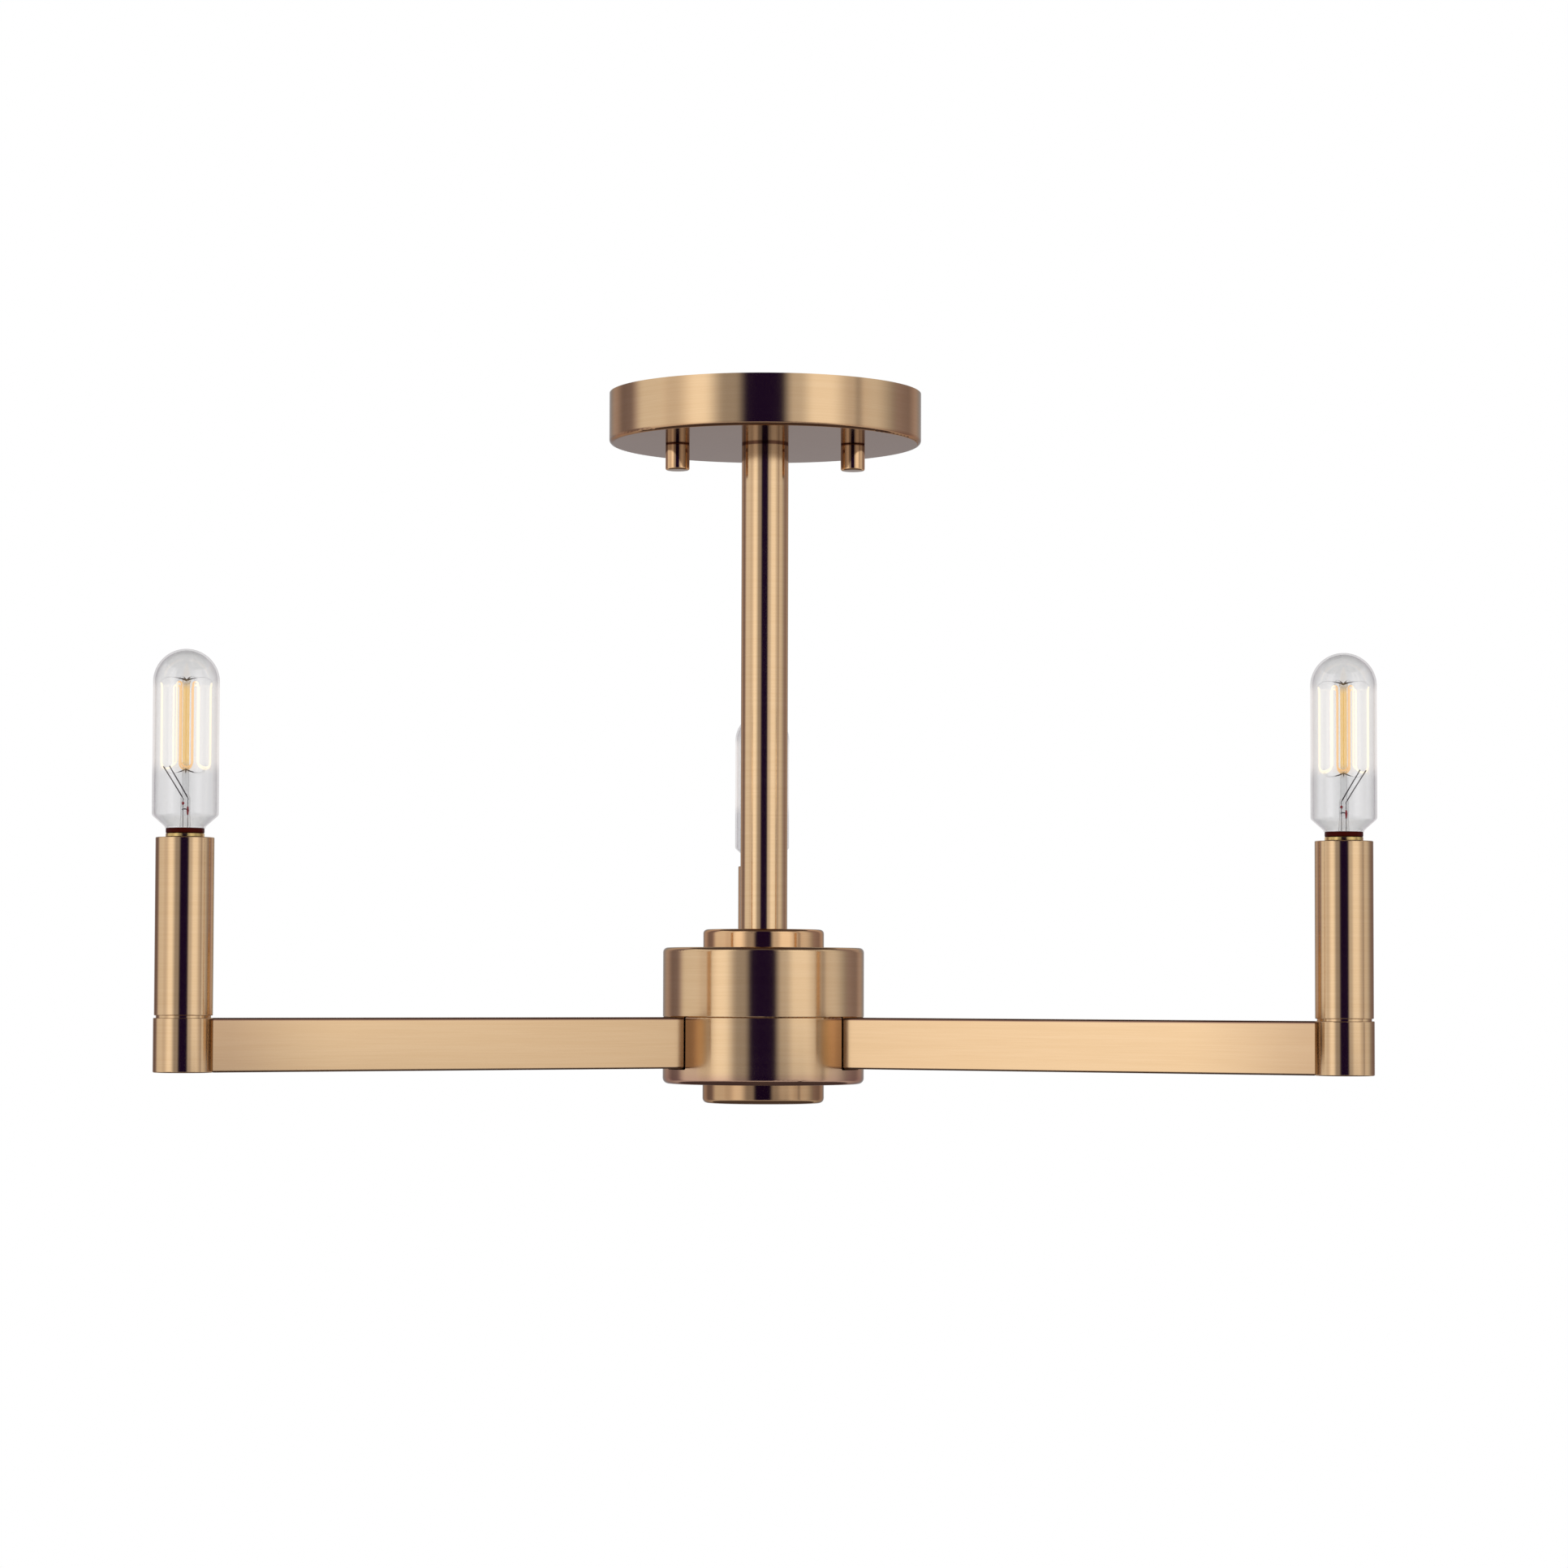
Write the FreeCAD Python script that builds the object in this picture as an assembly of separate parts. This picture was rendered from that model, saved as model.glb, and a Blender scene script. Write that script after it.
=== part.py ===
import FreeCAD, Part
import math
import os

from FreeCAD import Vector

# Semi flush ceiling light with three straight arms. Millimetres, +Z up.
# The origin is on the ceiling plane, on the stem's axis; the light hangs below it.
# Arm 1 points along +Y, and the others follow at equal angles.

# Driving dimensions ---------------------------------------------------------

# ceiling canopy
canopy_radius = 63.5
canopy_height = 20.6
canopy_wall = 1.2
canopy_edge_radius = 1.6

# crossbars that hold the light to an outlet box
bar_thickness = 2.0
bar_width = 16.0
bar_end_margin = 5.0
box_screw_spacing_near = 69.85
box_screw_spacing_far = 88.9
box_screw_slot_width = 4.8
bar_rivet_radius = 2.4
bar_rivet_head_radius = 4.0
bar_rivet_head_height = 1.4

# machine screws that reach down from the crossbar to the knob nuts
stud_spacing = 71.4
stud_radius = 2.08
stud_reach_below_canopy = 8.2
stud_nut_across_flats = 8.7
stud_nut_height = 3.1

# knob nuts
knob_radius = 4.9
knob_height = 10.6
knob_edge_radius = 0.8
knob_rim_radius = 0.3
knob_bore_depth = 9.0

# earth screw and its lead
earth_screw_radius = 2.05
earth_screw_head_radius = 3.6
earth_screw_head_height = 2.4
earth_screw_position = -19.0
earth_terminal_radius = 3.9
earth_terminal_thickness = 0.6
earth_terminal_tail = 7.0
earth_terminal_tail_width = 3.0

# threaded pipe, the hollow thread that joins the canopy, stem, hub and sockets
pipe_radius = 4.75
pipe_bore_radius = 3.2
pipe_nut_across_flats = 14.3
pipe_nut_height = 3.2
pipe_end_past_nut = 1.4
pipe_in_bush = 12.0

# stem
stem_radius = 9.525
stem_length = 197.5
stem_wall = 1.2
bush_height = 12.0

# hub
ring_radius = 24.45
ring_height = 7.4
ring_wall = 2.0
ring_edge_radius = 1.7
hub_radius = 40.7
hub_wall = 1.2
hub_plate_wall = 1.5
upper_body_height = 28.0
upper_body_edge_radius = 1.9
seam_edge_radius = 0.45
lower_body_rim = 6.4
lower_body_edge_radius = 2.3
cap_radius = 24.55
cap_height = 7.8
cap_edge_radius = 2.0
cap_floor = 2.0

# plate inside the hub that carries the arms
arm_plate_thickness = 2.5
post_radius = 3.2
post_inset = 9.0
post_screw_radius = 1.9
post_screw_head_radius = 3.7
post_screw_head_height = 2.2
post_screw_grip = 8.0
centre_stud_radius = 3.1
centre_nut_across_flats = 10.0
centre_nut_height = 3.0
centre_stud_past_nut = 1.0

# terminal block on the plate
block_radius = 17.0
block_height = 11.0
block_top_wall = 5.0
block_entry_depth = 3.5

# arms
arm_count = 3
arm_first_angle = 90.0
arm_reach = 252.0
arm_height = 20.5
arm_width = 12.7
arm_wall = 1.2
arm_edge_radius = 0.9
arm_inner_end = 17.5
arm_screw_radius = 1.9
arm_screw_head_radius = 3.5
arm_screw_head_height = 1.9
arm_screw_first = 23.5
arm_screw_pitch = 9.0
arm_bar_length = 17.0
arm_bar_thickness = 3.0
notch_side_gap = 0.8
notch_floor_gap = 0.5

# cup at the end of each arm
cup_radius = 11.3
cup_wall = 2.0
cup_top_wall = 5.0
cup_edge_radius = 0.5
neck_radius = 10.3
neck_height = 0.9
spigot_height = 3.0
cup_side_hole_radius = 4.0

# sleeve round each socket
sleeve_radius = 11.0
sleeve_wall = 1.0
sleeve_length = 66.9
sleeve_edge_radius = 0.3

# socket and its bracket
socket_depth_in_sleeve = 3.0
socket_radius = 8.6
socket_height = 30.0
socket_bore_depth = 19.5
socket_recess_radius = 4.2
socket_recess_depth = 5.0
shell_inner_radius = 6.12
shell_wall = 0.4
shell_top_inset = 1.2
contact_radius = 2.6
contact_height = 1.4
bracket_thickness = 1.2
bracket_side_margin = 1.6
bracket_leg_width = 6.0
bracket_wire_hole_radius = 3.4

# lamp
glass_radius = 12.5
glass_wall = 0.7
glass_neck_radius = 7.6
glass_cone_height = 4.9
glass_height = 67.6
glass_above_sleeve = 3.5
collar_radius = 7.25
collar_height = 1.8
base_skirt_radius = 7.3
base_thread_radius = 5.8
base_thread_length = 13.0
base_tip_radius = 2.4
base_tip_height = 4.4
mount_flare_radius = 2.1
mount_flare_height = 12.5
mount_rod_radius = 0.75
mount_hook_radius = 0.3
lead_in_radius = 0.3
lead_in_spread = 1.2
filament_wire_radius = 0.25
filament_cage_radius = 9.5
filament_legs = 12
filament_low = 21.5
filament_high = 56.5

# wiring
lead_radius = 1.05
lead_spread = 1.3
earth_lead_radius = 0.6
earth_lead_offset = 1.95
lead_bend_in_canopy = 4.0
lead_bend_in_arm = 7.0
lead_bend_in_cup = 5.0
lead_run_in_canopy = 20.0
lead_angles_in_canopy = (38.0, 142.0)
wire_nut_mouth_radius = 4.6
wire_nut_tip_radius = 2.9
wire_nut_length = 17.0
wire_nut_bore_depth = 6.0

# named clearances
thread_gap = 0.05
moving_gap = 0.15
seat_gap = 0.3
hole_gap = 0.3
weld_gap = 0.02

# Levels that follow from the sizes above ------------------------------------

canopy_floor = -canopy_height
canopy_inside = canopy_floor + canopy_wall
stem_foot = canopy_floor - stem_length
ring_foot = stem_foot - ring_height
seam = ring_foot - upper_body_height
arm_foot = seam - arm_height
lower_foot = arm_foot - lower_body_rim
cap_foot = lower_foot - cap_height
hub_inner_radius = hub_radius - hub_wall
plate_radius = hub_inner_radius - hole_gap
post_place = hub_inner_radius - post_inset
plate_top = seam + arm_plate_thickness
arm_middle = seam - arm_height / 2.0
sleeve_foot = seam + neck_height
sleeve_top = sleeve_foot + sleeve_length
sleeve_inner_radius = sleeve_radius - sleeve_wall
spigot_radius = sleeve_inner_radius - seat_gap
spigot_top = sleeve_foot + spigot_height
socket_top = sleeve_top - socket_depth_in_sleeve
socket_foot = socket_top - socket_height
socket_floor = socket_top - socket_bore_depth
glass_foot = sleeve_top + glass_above_sleeve
glass_top = glass_foot + glass_height
collar_foot = glass_foot - collar_height
skirt_foot = socket_top + seat_gap
thread_foot = skirt_foot - base_thread_length
tip_foot = thread_foot - base_tip_height
contact_top = tip_foot - seat_gap
bar_low_top = -bar_thickness
bar_low_foot = -2.0 * bar_thickness
box_screw_spacing = (box_screw_spacing_near + box_screw_spacing_far) / 2.0
box_slot_length = (box_screw_spacing_far - box_screw_spacing_near) / 2.0 + box_screw_slot_width
bar_length = box_screw_spacing + box_slot_length + 2.0 * bar_end_margin
bush_radius = stem_radius - stem_wall - weld_gap
lead_level_in_canopy = (bar_low_foot + canopy_inside + pipe_nut_height) / 2.0 + 0.4
canopy_pipe_top = canopy_inside + pipe_nut_height + pipe_end_past_nut
hub_pipe_foot = ring_foot - hub_plate_wall - pipe_nut_height - pipe_end_past_nut
block_top = plate_top + block_height
arm_angles = [arm_first_angle + 360.0 * i / arm_count for i in range(arm_count)]

UP = Vector(0, 0, 1)


# Shared shapes --------------------------------------------------------------

def disc(radius, foot, top, x=0.0, y=0.0):
    """Upright cylinder between two levels."""
    return Part.makeCylinder(radius, top - foot, Vector(x, y, foot), UP)


def tube(outer, inner, foot, top, x=0.0, y=0.0):
    """Upright ring between two levels."""
    return disc(outer, foot, top, x, y).cut(disc(inner, foot, top, x, y))


def cone(foot_radius, top_radius, foot, top, x=0.0, y=0.0):
    """Upright cone between two levels."""
    return Part.makeCone(foot_radius, top_radius, top - foot, Vector(x, y, foot), UP)


def block(x0, x1, y0, y1, z0, z1):
    """Box between two corners."""
    return Part.makeBox(x1 - x0, y1 - y0, z1 - z0, Vector(x0, y0, z0))


def hexagon(across_flats, foot, top, x=0.0, y=0.0):
    """Upright six-sided prism with two flats square to X."""
    radius = across_flats / math.sqrt(3.0)
    corners = [Vector(x + radius * math.cos(math.radians(60.0 * k + 30.0)),
                      y + radius * math.sin(math.radians(60.0 * k + 30.0)), foot) for k in range(7)]
    face = Part.Face(Part.makePolygon(corners))
    return face.extrude(Vector(0, 0, top - foot))


def hex_nut(across_flats, bore_radius, foot, top, x=0.0, y=0.0):
    """Six-sided nut with its corners turned off and a round bore."""
    prism = hexagon(across_flats, foot, top, x, y)
    corner = across_flats / math.sqrt(3.0)
    turned = corner - across_flats / 2.0
    lower = cone(corner - turned, corner, foot, foot + turned * 0.6, x, y)
    middle = disc(corner, foot + turned * 0.6, top - turned * 0.6, x, y)
    upper = cone(corner, corner - turned, top - turned * 0.6, top, x, y)
    blank = prism.common(lower.fuse(middle).fuse(upper))
    return blank.cut(disc(bore_radius, foot, top, x, y)).removeSplitter()


def pipe_nut(foot, top, x=0.0, y=0.0):
    """Nut for the hollow thread."""
    return hex_nut(pipe_nut_across_flats, pipe_radius + thread_gap, foot, top, x, y)


def round_rims(shape, radius, level, rim_radius, x=0.0, y=0.0):
    """Round the circular edges that lie at one level and have one radius."""
    chosen = []
    for edge in shape.Edges:
        if not isinstance(edge.Curve, Part.Circle):
            continue
        centre = edge.Curve.Center
        near = abs(centre.x - x) < 1e-4 and abs(centre.y - y) < 1e-4
        if near and abs(centre.z - level) < 1e-4 and abs(edge.Curve.Radius - rim_radius) < 1e-4:
            chosen.append(edge)
    if not chosen:
        raise ValueError("no rim of radius %g at level %g" % (rim_radius, level))
    return shape.makeFillet(radius, chosen)


def to_arm(shape, angle):
    """Turn a shape drawn along +X about the stem's axis to an arm's angle."""
    turned = shape.copy()
    turned.rotate(Vector(0, 0, 0), UP, angle)
    return turned


def bent_path(points, radii):
    """Straight runs between points, joined by tangent arcs of the given radii."""
    edges = []
    start = points[0]
    for before, corner, after, radius in zip(points, points[1:], points[2:], radii):
        inward = (before - corner).normalize()
        outward = (after - corner).normalize()
        half = inward.getAngle(outward) / 2.0
        reach = radius / math.tan(half)
        first = corner + inward * reach
        last = corner + outward * reach
        middle_way = (inward + outward).normalize()
        centre = corner + middle_way * (radius / math.sin(half))
        middle = centre - middle_way * radius
        edges.append(Part.LineSegment(start, first).toShape())
        edges.append(Part.Arc(first, middle, last).toShape())
        start = last
    edges.append(Part.LineSegment(start, points[-1]).toShape())
    return Part.Wire(edges)


def round_lead(path, radius):
    """Round wire along a path, from its own first point and direction."""
    first = path.Edges[0]
    start = first.valueAt(first.FirstParameter)
    along = first.tangentAt(first.FirstParameter)
    profile = Part.Wire(Part.Circle(start, along, radius).toShape())
    lead = path.makePipeShell([profile], True, False)
    expected = math.pi * radius ** 2 * path.Length
    print("lead: length %.1f, volume ratio %.4f" % (path.Length, lead.Volume / expected))
    return lead


# Ceiling fixing -------------------------------------------------------------

def slot_cut(centre, length, width, foot, top):
    """Slot with round ends, centred on the Y axis and running along it."""
    straight = (length - width) / 2.0
    radius = width / 2.0
    ends = disc(radius, foot, top, 0.0, centre - straight).fuse(
        disc(radius, foot, top, 0.0, centre + straight))
    return ends.fuse(block(-radius, radius, centre - straight, centre + straight, foot, top))


def flat_bar(foot, top):
    """Crossbar blank along Y with half-round corners at its ends."""
    half = bar_length / 2.0
    bar = block(-bar_width / 2.0, bar_width / 2.0, -half, half, foot, top)
    upright = [e for e in bar.Edges if abs(e.Length - (top - foot)) < 1e-6
               and abs(e.tangentAt(e.FirstParameter).z) > 0.99]
    return bar.makeFillet(bar_width * 0.3, upright)


def box_crossbar():
    """Upper bar, held flat on the outlet box by two screws through its slots."""
    bar = flat_bar(bar_low_top, 0.0)
    for side in (-1.0, 1.0):
        centre = side * box_screw_spacing / 2.0
        bar = bar.cut(slot_cut(centre, box_slot_length, box_screw_slot_width, bar_low_top, 0.0))
    bar = bar.cut(disc(bar_rivet_radius + thread_gap, bar_low_top, 0.0))
    return bar


def canopy_crossbar():
    """Lower bar across the first one, with tapped holes for the long screws."""
    bar = flat_bar(bar_low_foot, bar_low_top)
    bar.rotate(Vector(0, 0, 0), UP, 90.0)
    for side in (-1.0, 1.0):
        bar = bar.cut(disc(stud_radius + thread_gap, bar_low_foot, bar_low_top,
                           side * stud_spacing / 2.0))
    bar = bar.cut(disc(bar_rivet_radius + thread_gap, bar_low_foot, bar_low_top))
    bar = bar.cut(disc(earth_screw_radius + thread_gap, bar_low_foot, bar_low_top,
                       earth_screw_position))
    return bar


def crossbar_rivet():
    """Rivet that lets one bar swivel on the other; flush with the ceiling side."""
    shank = disc(bar_rivet_radius, bar_low_foot, 0.0)
    head_foot = bar_low_foot - bar_rivet_head_height
    head = disc(bar_rivet_head_radius, head_foot, bar_low_foot)
    head = round_rims(head, bar_rivet_head_height * 0.6, head_foot, bar_rivet_head_radius)
    return shank.fuse(head)


def canopy_studs():
    """Long screws that stand down from the lower bar through the canopy."""
    foot = canopy_floor - stud_reach_below_canopy
    studs = []
    for side in (-1.0, 1.0):
        stud = disc(stud_radius, foot, bar_low_top, side * stud_spacing / 2.0)
        studs.append(stud.makeChamfer(0.4, [e for e in stud.Edges
                                            if isinstance(e.Curve, Part.Circle)
                                            and abs(e.Curve.Center.z - foot) < 1e-6]))
    return Part.makeCompound(studs)


def stud_nuts():
    """Nuts that lock the long screws under the lower bar."""
    top = bar_low_foot
    foot = top - stud_nut_height
    nuts = [hex_nut(stud_nut_across_flats, stud_radius + thread_gap, foot, top,
                    side * stud_spacing / 2.0) for side in (-1.0, 1.0)]
    return Part.makeCompound(nuts)


def earth_screw():
    """Screw that clamps the earth lead's ring terminal to the lower bar."""
    terminal_foot = bar_low_foot - earth_terminal_thickness
    shank = disc(earth_screw_radius, terminal_foot, bar_low_top, earth_screw_position)
    head_foot = terminal_foot - earth_screw_head_height
    head = hexagon(earth_screw_head_radius * math.sqrt(3.0), head_foot, terminal_foot,
                   earth_screw_position)
    slot = block(earth_screw_position - 5.0, earth_screw_position + 5.0, -0.5, 0.5,
                 head_foot, head_foot + 1.0)
    return shank.fuse(head).cut(slot)


def canopy():
    """Shallow round pan, open towards the ceiling, with holes in its floor."""
    pan = disc(canopy_radius, canopy_floor, 0.0)
    pan = round_rims(pan, canopy_edge_radius, canopy_floor, canopy_radius)
    inner_radius = canopy_radius - canopy_wall
    hollow = disc(inner_radius, canopy_inside, 0.0)
    hollow = round_rims(hollow, max(canopy_edge_radius - canopy_wall, 0.2),
                        canopy_inside, inner_radius)
    pan = pan.cut(hollow)
    pan = pan.cut(disc(pipe_radius + hole_gap, canopy_floor, canopy_inside))
    for side in (-1.0, 1.0):
        pan = pan.cut(disc(stud_radius + hole_gap, canopy_floor, canopy_inside,
                           side * stud_spacing / 2.0))
    return pan


def knob_nut(side):
    """Round blind nut that holds the canopy up on one of the long screws."""
    x = side * stud_spacing / 2.0
    foot = canopy_floor - knob_height
    knob = disc(knob_radius, foot, canopy_floor, x)
    knob = round_rims(knob, knob_edge_radius, foot, knob_radius, x)
    knob = round_rims(knob, knob_rim_radius, canopy_floor, knob_radius, x)
    bore = disc(stud_radius + moving_gap, canopy_floor - knob_bore_depth, canopy_floor, x)
    return knob.cut(bore)


# Stem -----------------------------------------------------------------------

def canopy_pipe():
    """Hollow thread from inside the canopy down into the stem's upper bush."""
    return tube(pipe_radius, pipe_bore_radius, canopy_floor - pipe_in_bush, canopy_pipe_top)


def stem():
    """Straight round tube between the canopy and the hub."""
    return tube(stem_radius, stem_radius - stem_wall, stem_foot, canopy_floor)


def stem_bushes():
    """Threaded bushes fixed inside both ends of the stem."""
    upper = tube(bush_radius, pipe_radius + thread_gap, canopy_floor - bush_height, canopy_floor)
    lower = tube(bush_radius, pipe_radius + thread_gap, stem_foot, stem_foot + bush_height)
    return Part.makeCompound([upper, lower])


def pipe_nuts():
    """Nuts on the hollow threads: in the canopy, under the hub's top, one per socket."""
    nuts = [pipe_nut(canopy_inside, canopy_inside + pipe_nut_height)]
    hub_nut_top = ring_foot - hub_plate_wall
    nuts.append(pipe_nut(hub_nut_top - pipe_nut_height, hub_nut_top))
    socket_nut_foot = spigot_top + bracket_thickness
    for angle in arm_angles:
        nut = pipe_nut(socket_nut_foot, socket_nut_foot + pipe_nut_height, arm_reach)
        nuts.append(to_arm(nut, angle))
    return Part.makeCompound(nuts)


# Hub ------------------------------------------------------------------------

def hub_pipe():
    """Hollow thread from the stem's lower bush through the hub's top."""
    return tube(pipe_radius, pipe_bore_radius, hub_pipe_foot, stem_foot + pipe_in_bush)


def hub_top_ring():
    """Stepped ring between the stem and the hub, hollow from below."""
    ring = disc(ring_radius, ring_foot, stem_foot)
    ring = round_rims(ring, ring_edge_radius, stem_foot, ring_radius)
    ring = ring.cut(disc(ring_radius - ring_wall, ring_foot, stem_foot - ring_wall))
    return ring.cut(disc(pipe_radius + hole_gap, ring_foot, stem_foot))


def hub_upper_body():
    """Upper half of the hub, a pan open downwards."""
    body = disc(hub_radius, seam, ring_foot)
    body = round_rims(body, upper_body_edge_radius, ring_foot, hub_radius)
    body = round_rims(body, seam_edge_radius, seam, hub_radius)
    body = body.cut(disc(hub_inner_radius, seam, ring_foot - hub_plate_wall))
    return body.cut(disc(pipe_radius + hole_gap, seam, ring_foot))


def hub_posts():
    """Posts fixed under the hub's top, between the arms, that carry the plate."""
    posts = []
    for angle in arm_angles:
        post = disc(post_radius, plate_top, ring_foot - hub_plate_wall, post_place)
        post = post.cut(disc(post_screw_radius + thread_gap, plate_top,
                             plate_top + post_screw_grip + 1.0, post_place))
        posts.append(to_arm(post, angle + 180.0 / arm_count))
    return Part.makeCompound(posts)


def pan_screw(shank_radius, head_radius, head_height, seat, grip, x, head_down):
    """Pan-head screw, its head under or over its seat."""
    way = -1.0 if head_down else 1.0
    far = seat - way * grip
    shank = disc(shank_radius, min(seat, far), max(seat, far), x)
    outside = seat + way * head_height
    head = disc(head_radius, min(seat, outside), max(seat, outside), x)
    head = round_rims(head, head_height * 0.5, outside, head_radius, x)
    slot_end = outside - way * head_height * 0.4
    slot = block(x - head_radius, x + head_radius, -0.4, 0.4,
                 min(outside, slot_end), max(outside, slot_end))
    return shank.fuse(head).cut(slot)


def plate_screws():
    """Screws from below that fix the plate to its posts."""
    screws = []
    for angle in arm_angles:
        screw = pan_screw(post_screw_radius, post_screw_head_radius, post_screw_head_height,
                          seam, arm_plate_thickness + post_screw_grip, post_place, True)
        screws.append(to_arm(screw, angle + 180.0 / arm_count))
    return Part.makeCompound(screws)


def arm_plate():
    """Round plate inside the hub that carries the arms from above."""
    plate = disc(plate_radius, seam, plate_top)
    plate = plate.cut(disc(centre_stud_radius + thread_gap, seam, plate_top))
    for angle in arm_angles:
        for place in arm_screw_places():
            hole = disc(arm_screw_radius + hole_gap, seam, plate_top, place)
            plate = plate.cut(to_arm(hole, angle))
        lead_hole = disc(lead_spread + lead_radius + 2.0 * hole_gap, seam, plate_top, lead_drop())
        plate = plate.cut(to_arm(lead_hole, angle))
        post_hole = disc(post_screw_radius + hole_gap, seam, plate_top, post_place)
        plate = plate.cut(to_arm(post_hole, angle + 180.0 / arm_count))
    return plate


def arm_screw_places():
    """Distances of an arm's two screws from the stem's axis."""
    return [arm_screw_first, arm_screw_first + arm_screw_pitch]


def lead_drop():
    """Distance from the axis at which an arm's leads come down through the plate."""
    return arm_inner_end - lead_spread - lead_radius - 2.0 * hole_gap


def centre_stud():
    """Stud that hangs from the plate's middle and takes the bottom cap."""
    top = plate_top + centre_nut_height + centre_stud_past_nut
    return disc(centre_stud_radius, cap_foot + cap_floor + 1.0, top)


def centre_nuts():
    """Nuts that lock the centre stud above and below the plate."""
    upper = hex_nut(centre_nut_across_flats, centre_stud_radius + thread_gap,
                    plate_top, plate_top + centre_nut_height)
    lower = hex_nut(centre_nut_across_flats, centre_stud_radius + thread_gap,
                    seam - centre_nut_height, seam)
    return Part.makeCompound([upper, lower])


def hub_lower_body():
    """Lower half of the hub, a pan open upwards with a notch for each arm."""
    body = disc(hub_radius, lower_foot, seam)
    body = round_rims(body, lower_body_edge_radius, lower_foot, hub_radius)
    body = round_rims(body, seam_edge_radius, seam, hub_radius)
    hollow_radius = hub_radius - hub_wall
    hollow = disc(hollow_radius, lower_foot + hub_plate_wall, seam)
    hollow = round_rims(hollow, max(lower_body_edge_radius - hub_wall, 0.2),
                        lower_foot + hub_plate_wall, hollow_radius)
    body = body.cut(hollow)
    body = body.cut(disc(centre_stud_radius + hole_gap, lower_foot, seam))
    half = arm_width / 2.0 + notch_side_gap
    notch = block(hub_radius / 2.0, hub_radius + 1.0, -half, half, arm_foot - notch_floor_gap, seam)
    corners = [e for e in notch.Edges if abs(e.tangentAt(e.FirstParameter).x) > 0.99
               and abs(e.CenterOfMass.z - (arm_foot - notch_floor_gap)) < 1e-6]
    notch = notch.makeFillet(arm_edge_radius, corners)
    for angle in arm_angles:
        body = body.cut(to_arm(notch, angle))
    return body


def bottom_cap():
    """Round cap that screws onto the centre stud and holds the lower body up."""
    cap = disc(cap_radius, cap_foot, lower_foot)
    cap = round_rims(cap, cap_edge_radius, cap_foot, cap_radius)
    bore = disc(centre_stud_radius + moving_gap, cap_foot + cap_floor, lower_foot)
    return cap.cut(bore)


def terminal_block():
    """Insulating block on the plate where the stem's leads meet the arms' leads."""
    body = disc(block_radius, plate_top, block_top)
    hollow_radius = centre_nut_across_flats / math.sqrt(3.0) + hole_gap
    hollow_top = block_top - block_top_wall
    body = body.cut(disc(hollow_radius, plate_top, hollow_top))
    for x in (-lead_spread, lead_spread):
        body = body.cut(disc(lead_radius + thread_gap, block_top - block_entry_depth,
                             block_top, x, lead_spread / 2.0))
    body = body.cut(disc(earth_lead_radius + thread_gap, block_top - block_entry_depth,
                         block_top, 0.0, -earth_lead_offset))
    for angle in arm_angles:
        for side in (-lead_spread, lead_spread):
            entry = disc(lead_radius + thread_gap, plate_top, plate_top + block_entry_depth,
                         lead_drop(), side)
            body = body.cut(to_arm(entry, angle))
    return body


# Arms -----------------------------------------------------------------------

def arm_blank(half_width, foot, top, edge_radius, start, end):
    """Bar along +X whose four long edges are rounded."""
    bar = block(start, end, -half_width, half_width, foot, top)
    long_edges = [e for e in bar.Edges if abs(e.Length - (end - start)) < 1e-6
                  and abs(e.tangentAt(e.FirstParameter).x) > 0.99]
    return bar.makeFillet(edge_radius, long_edges)


def arm_tube():
    """Rectangular tube along +X, cut to sit against its cup."""
    half = arm_width / 2.0
    tube_outside = arm_blank(half, arm_foot, seam, arm_edge_radius, arm_inner_end, arm_reach)
    tube_inside = arm_blank(half - arm_wall, arm_foot + arm_wall, seam - arm_wall,
                            max(arm_edge_radius - arm_wall, 0.2), arm_inner_end, arm_reach)
    tube_wall = tube_outside.cut(tube_inside)
    tube_wall = tube_wall.cut(disc(cup_radius + weld_gap, arm_foot, seam, arm_reach))
    for place in arm_screw_places():
        tube_wall = tube_wall.cut(disc(arm_screw_radius + hole_gap, seam - arm_wall, seam, place))
    return tube_wall


def arm_nut_bar():
    """Tapped bar fixed inside the arm's inner end, along +X."""
    top = seam - arm_wall
    half = arm_width / 2.0 - arm_wall - hole_gap
    start = arm_screw_first - (arm_bar_length - arm_screw_pitch) / 2.0
    bar = block(start, start + arm_bar_length, -half, half, top - arm_bar_thickness, top)
    for place in arm_screw_places():
        bar = bar.cut(disc(arm_screw_radius + thread_gap, top - arm_bar_thickness, top, place))
    return bar


def arm_screws():
    """Screws down through the plate and the arms into their tapped bars."""
    grip = arm_plate_thickness + arm_wall + arm_bar_thickness
    screws = []
    for angle in arm_angles:
        for place in arm_screw_places():
            screw = pan_screw(arm_screw_radius, arm_screw_head_radius, arm_screw_head_height,
                              plate_top, grip, place, False)
            screws.append(to_arm(screw, angle))
    return Part.makeCompound(screws)


def arm_nut_bars():
    """The three tapped bars."""
    return Part.makeCompound([to_arm(arm_nut_bar(), angle) for angle in arm_angles])


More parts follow.
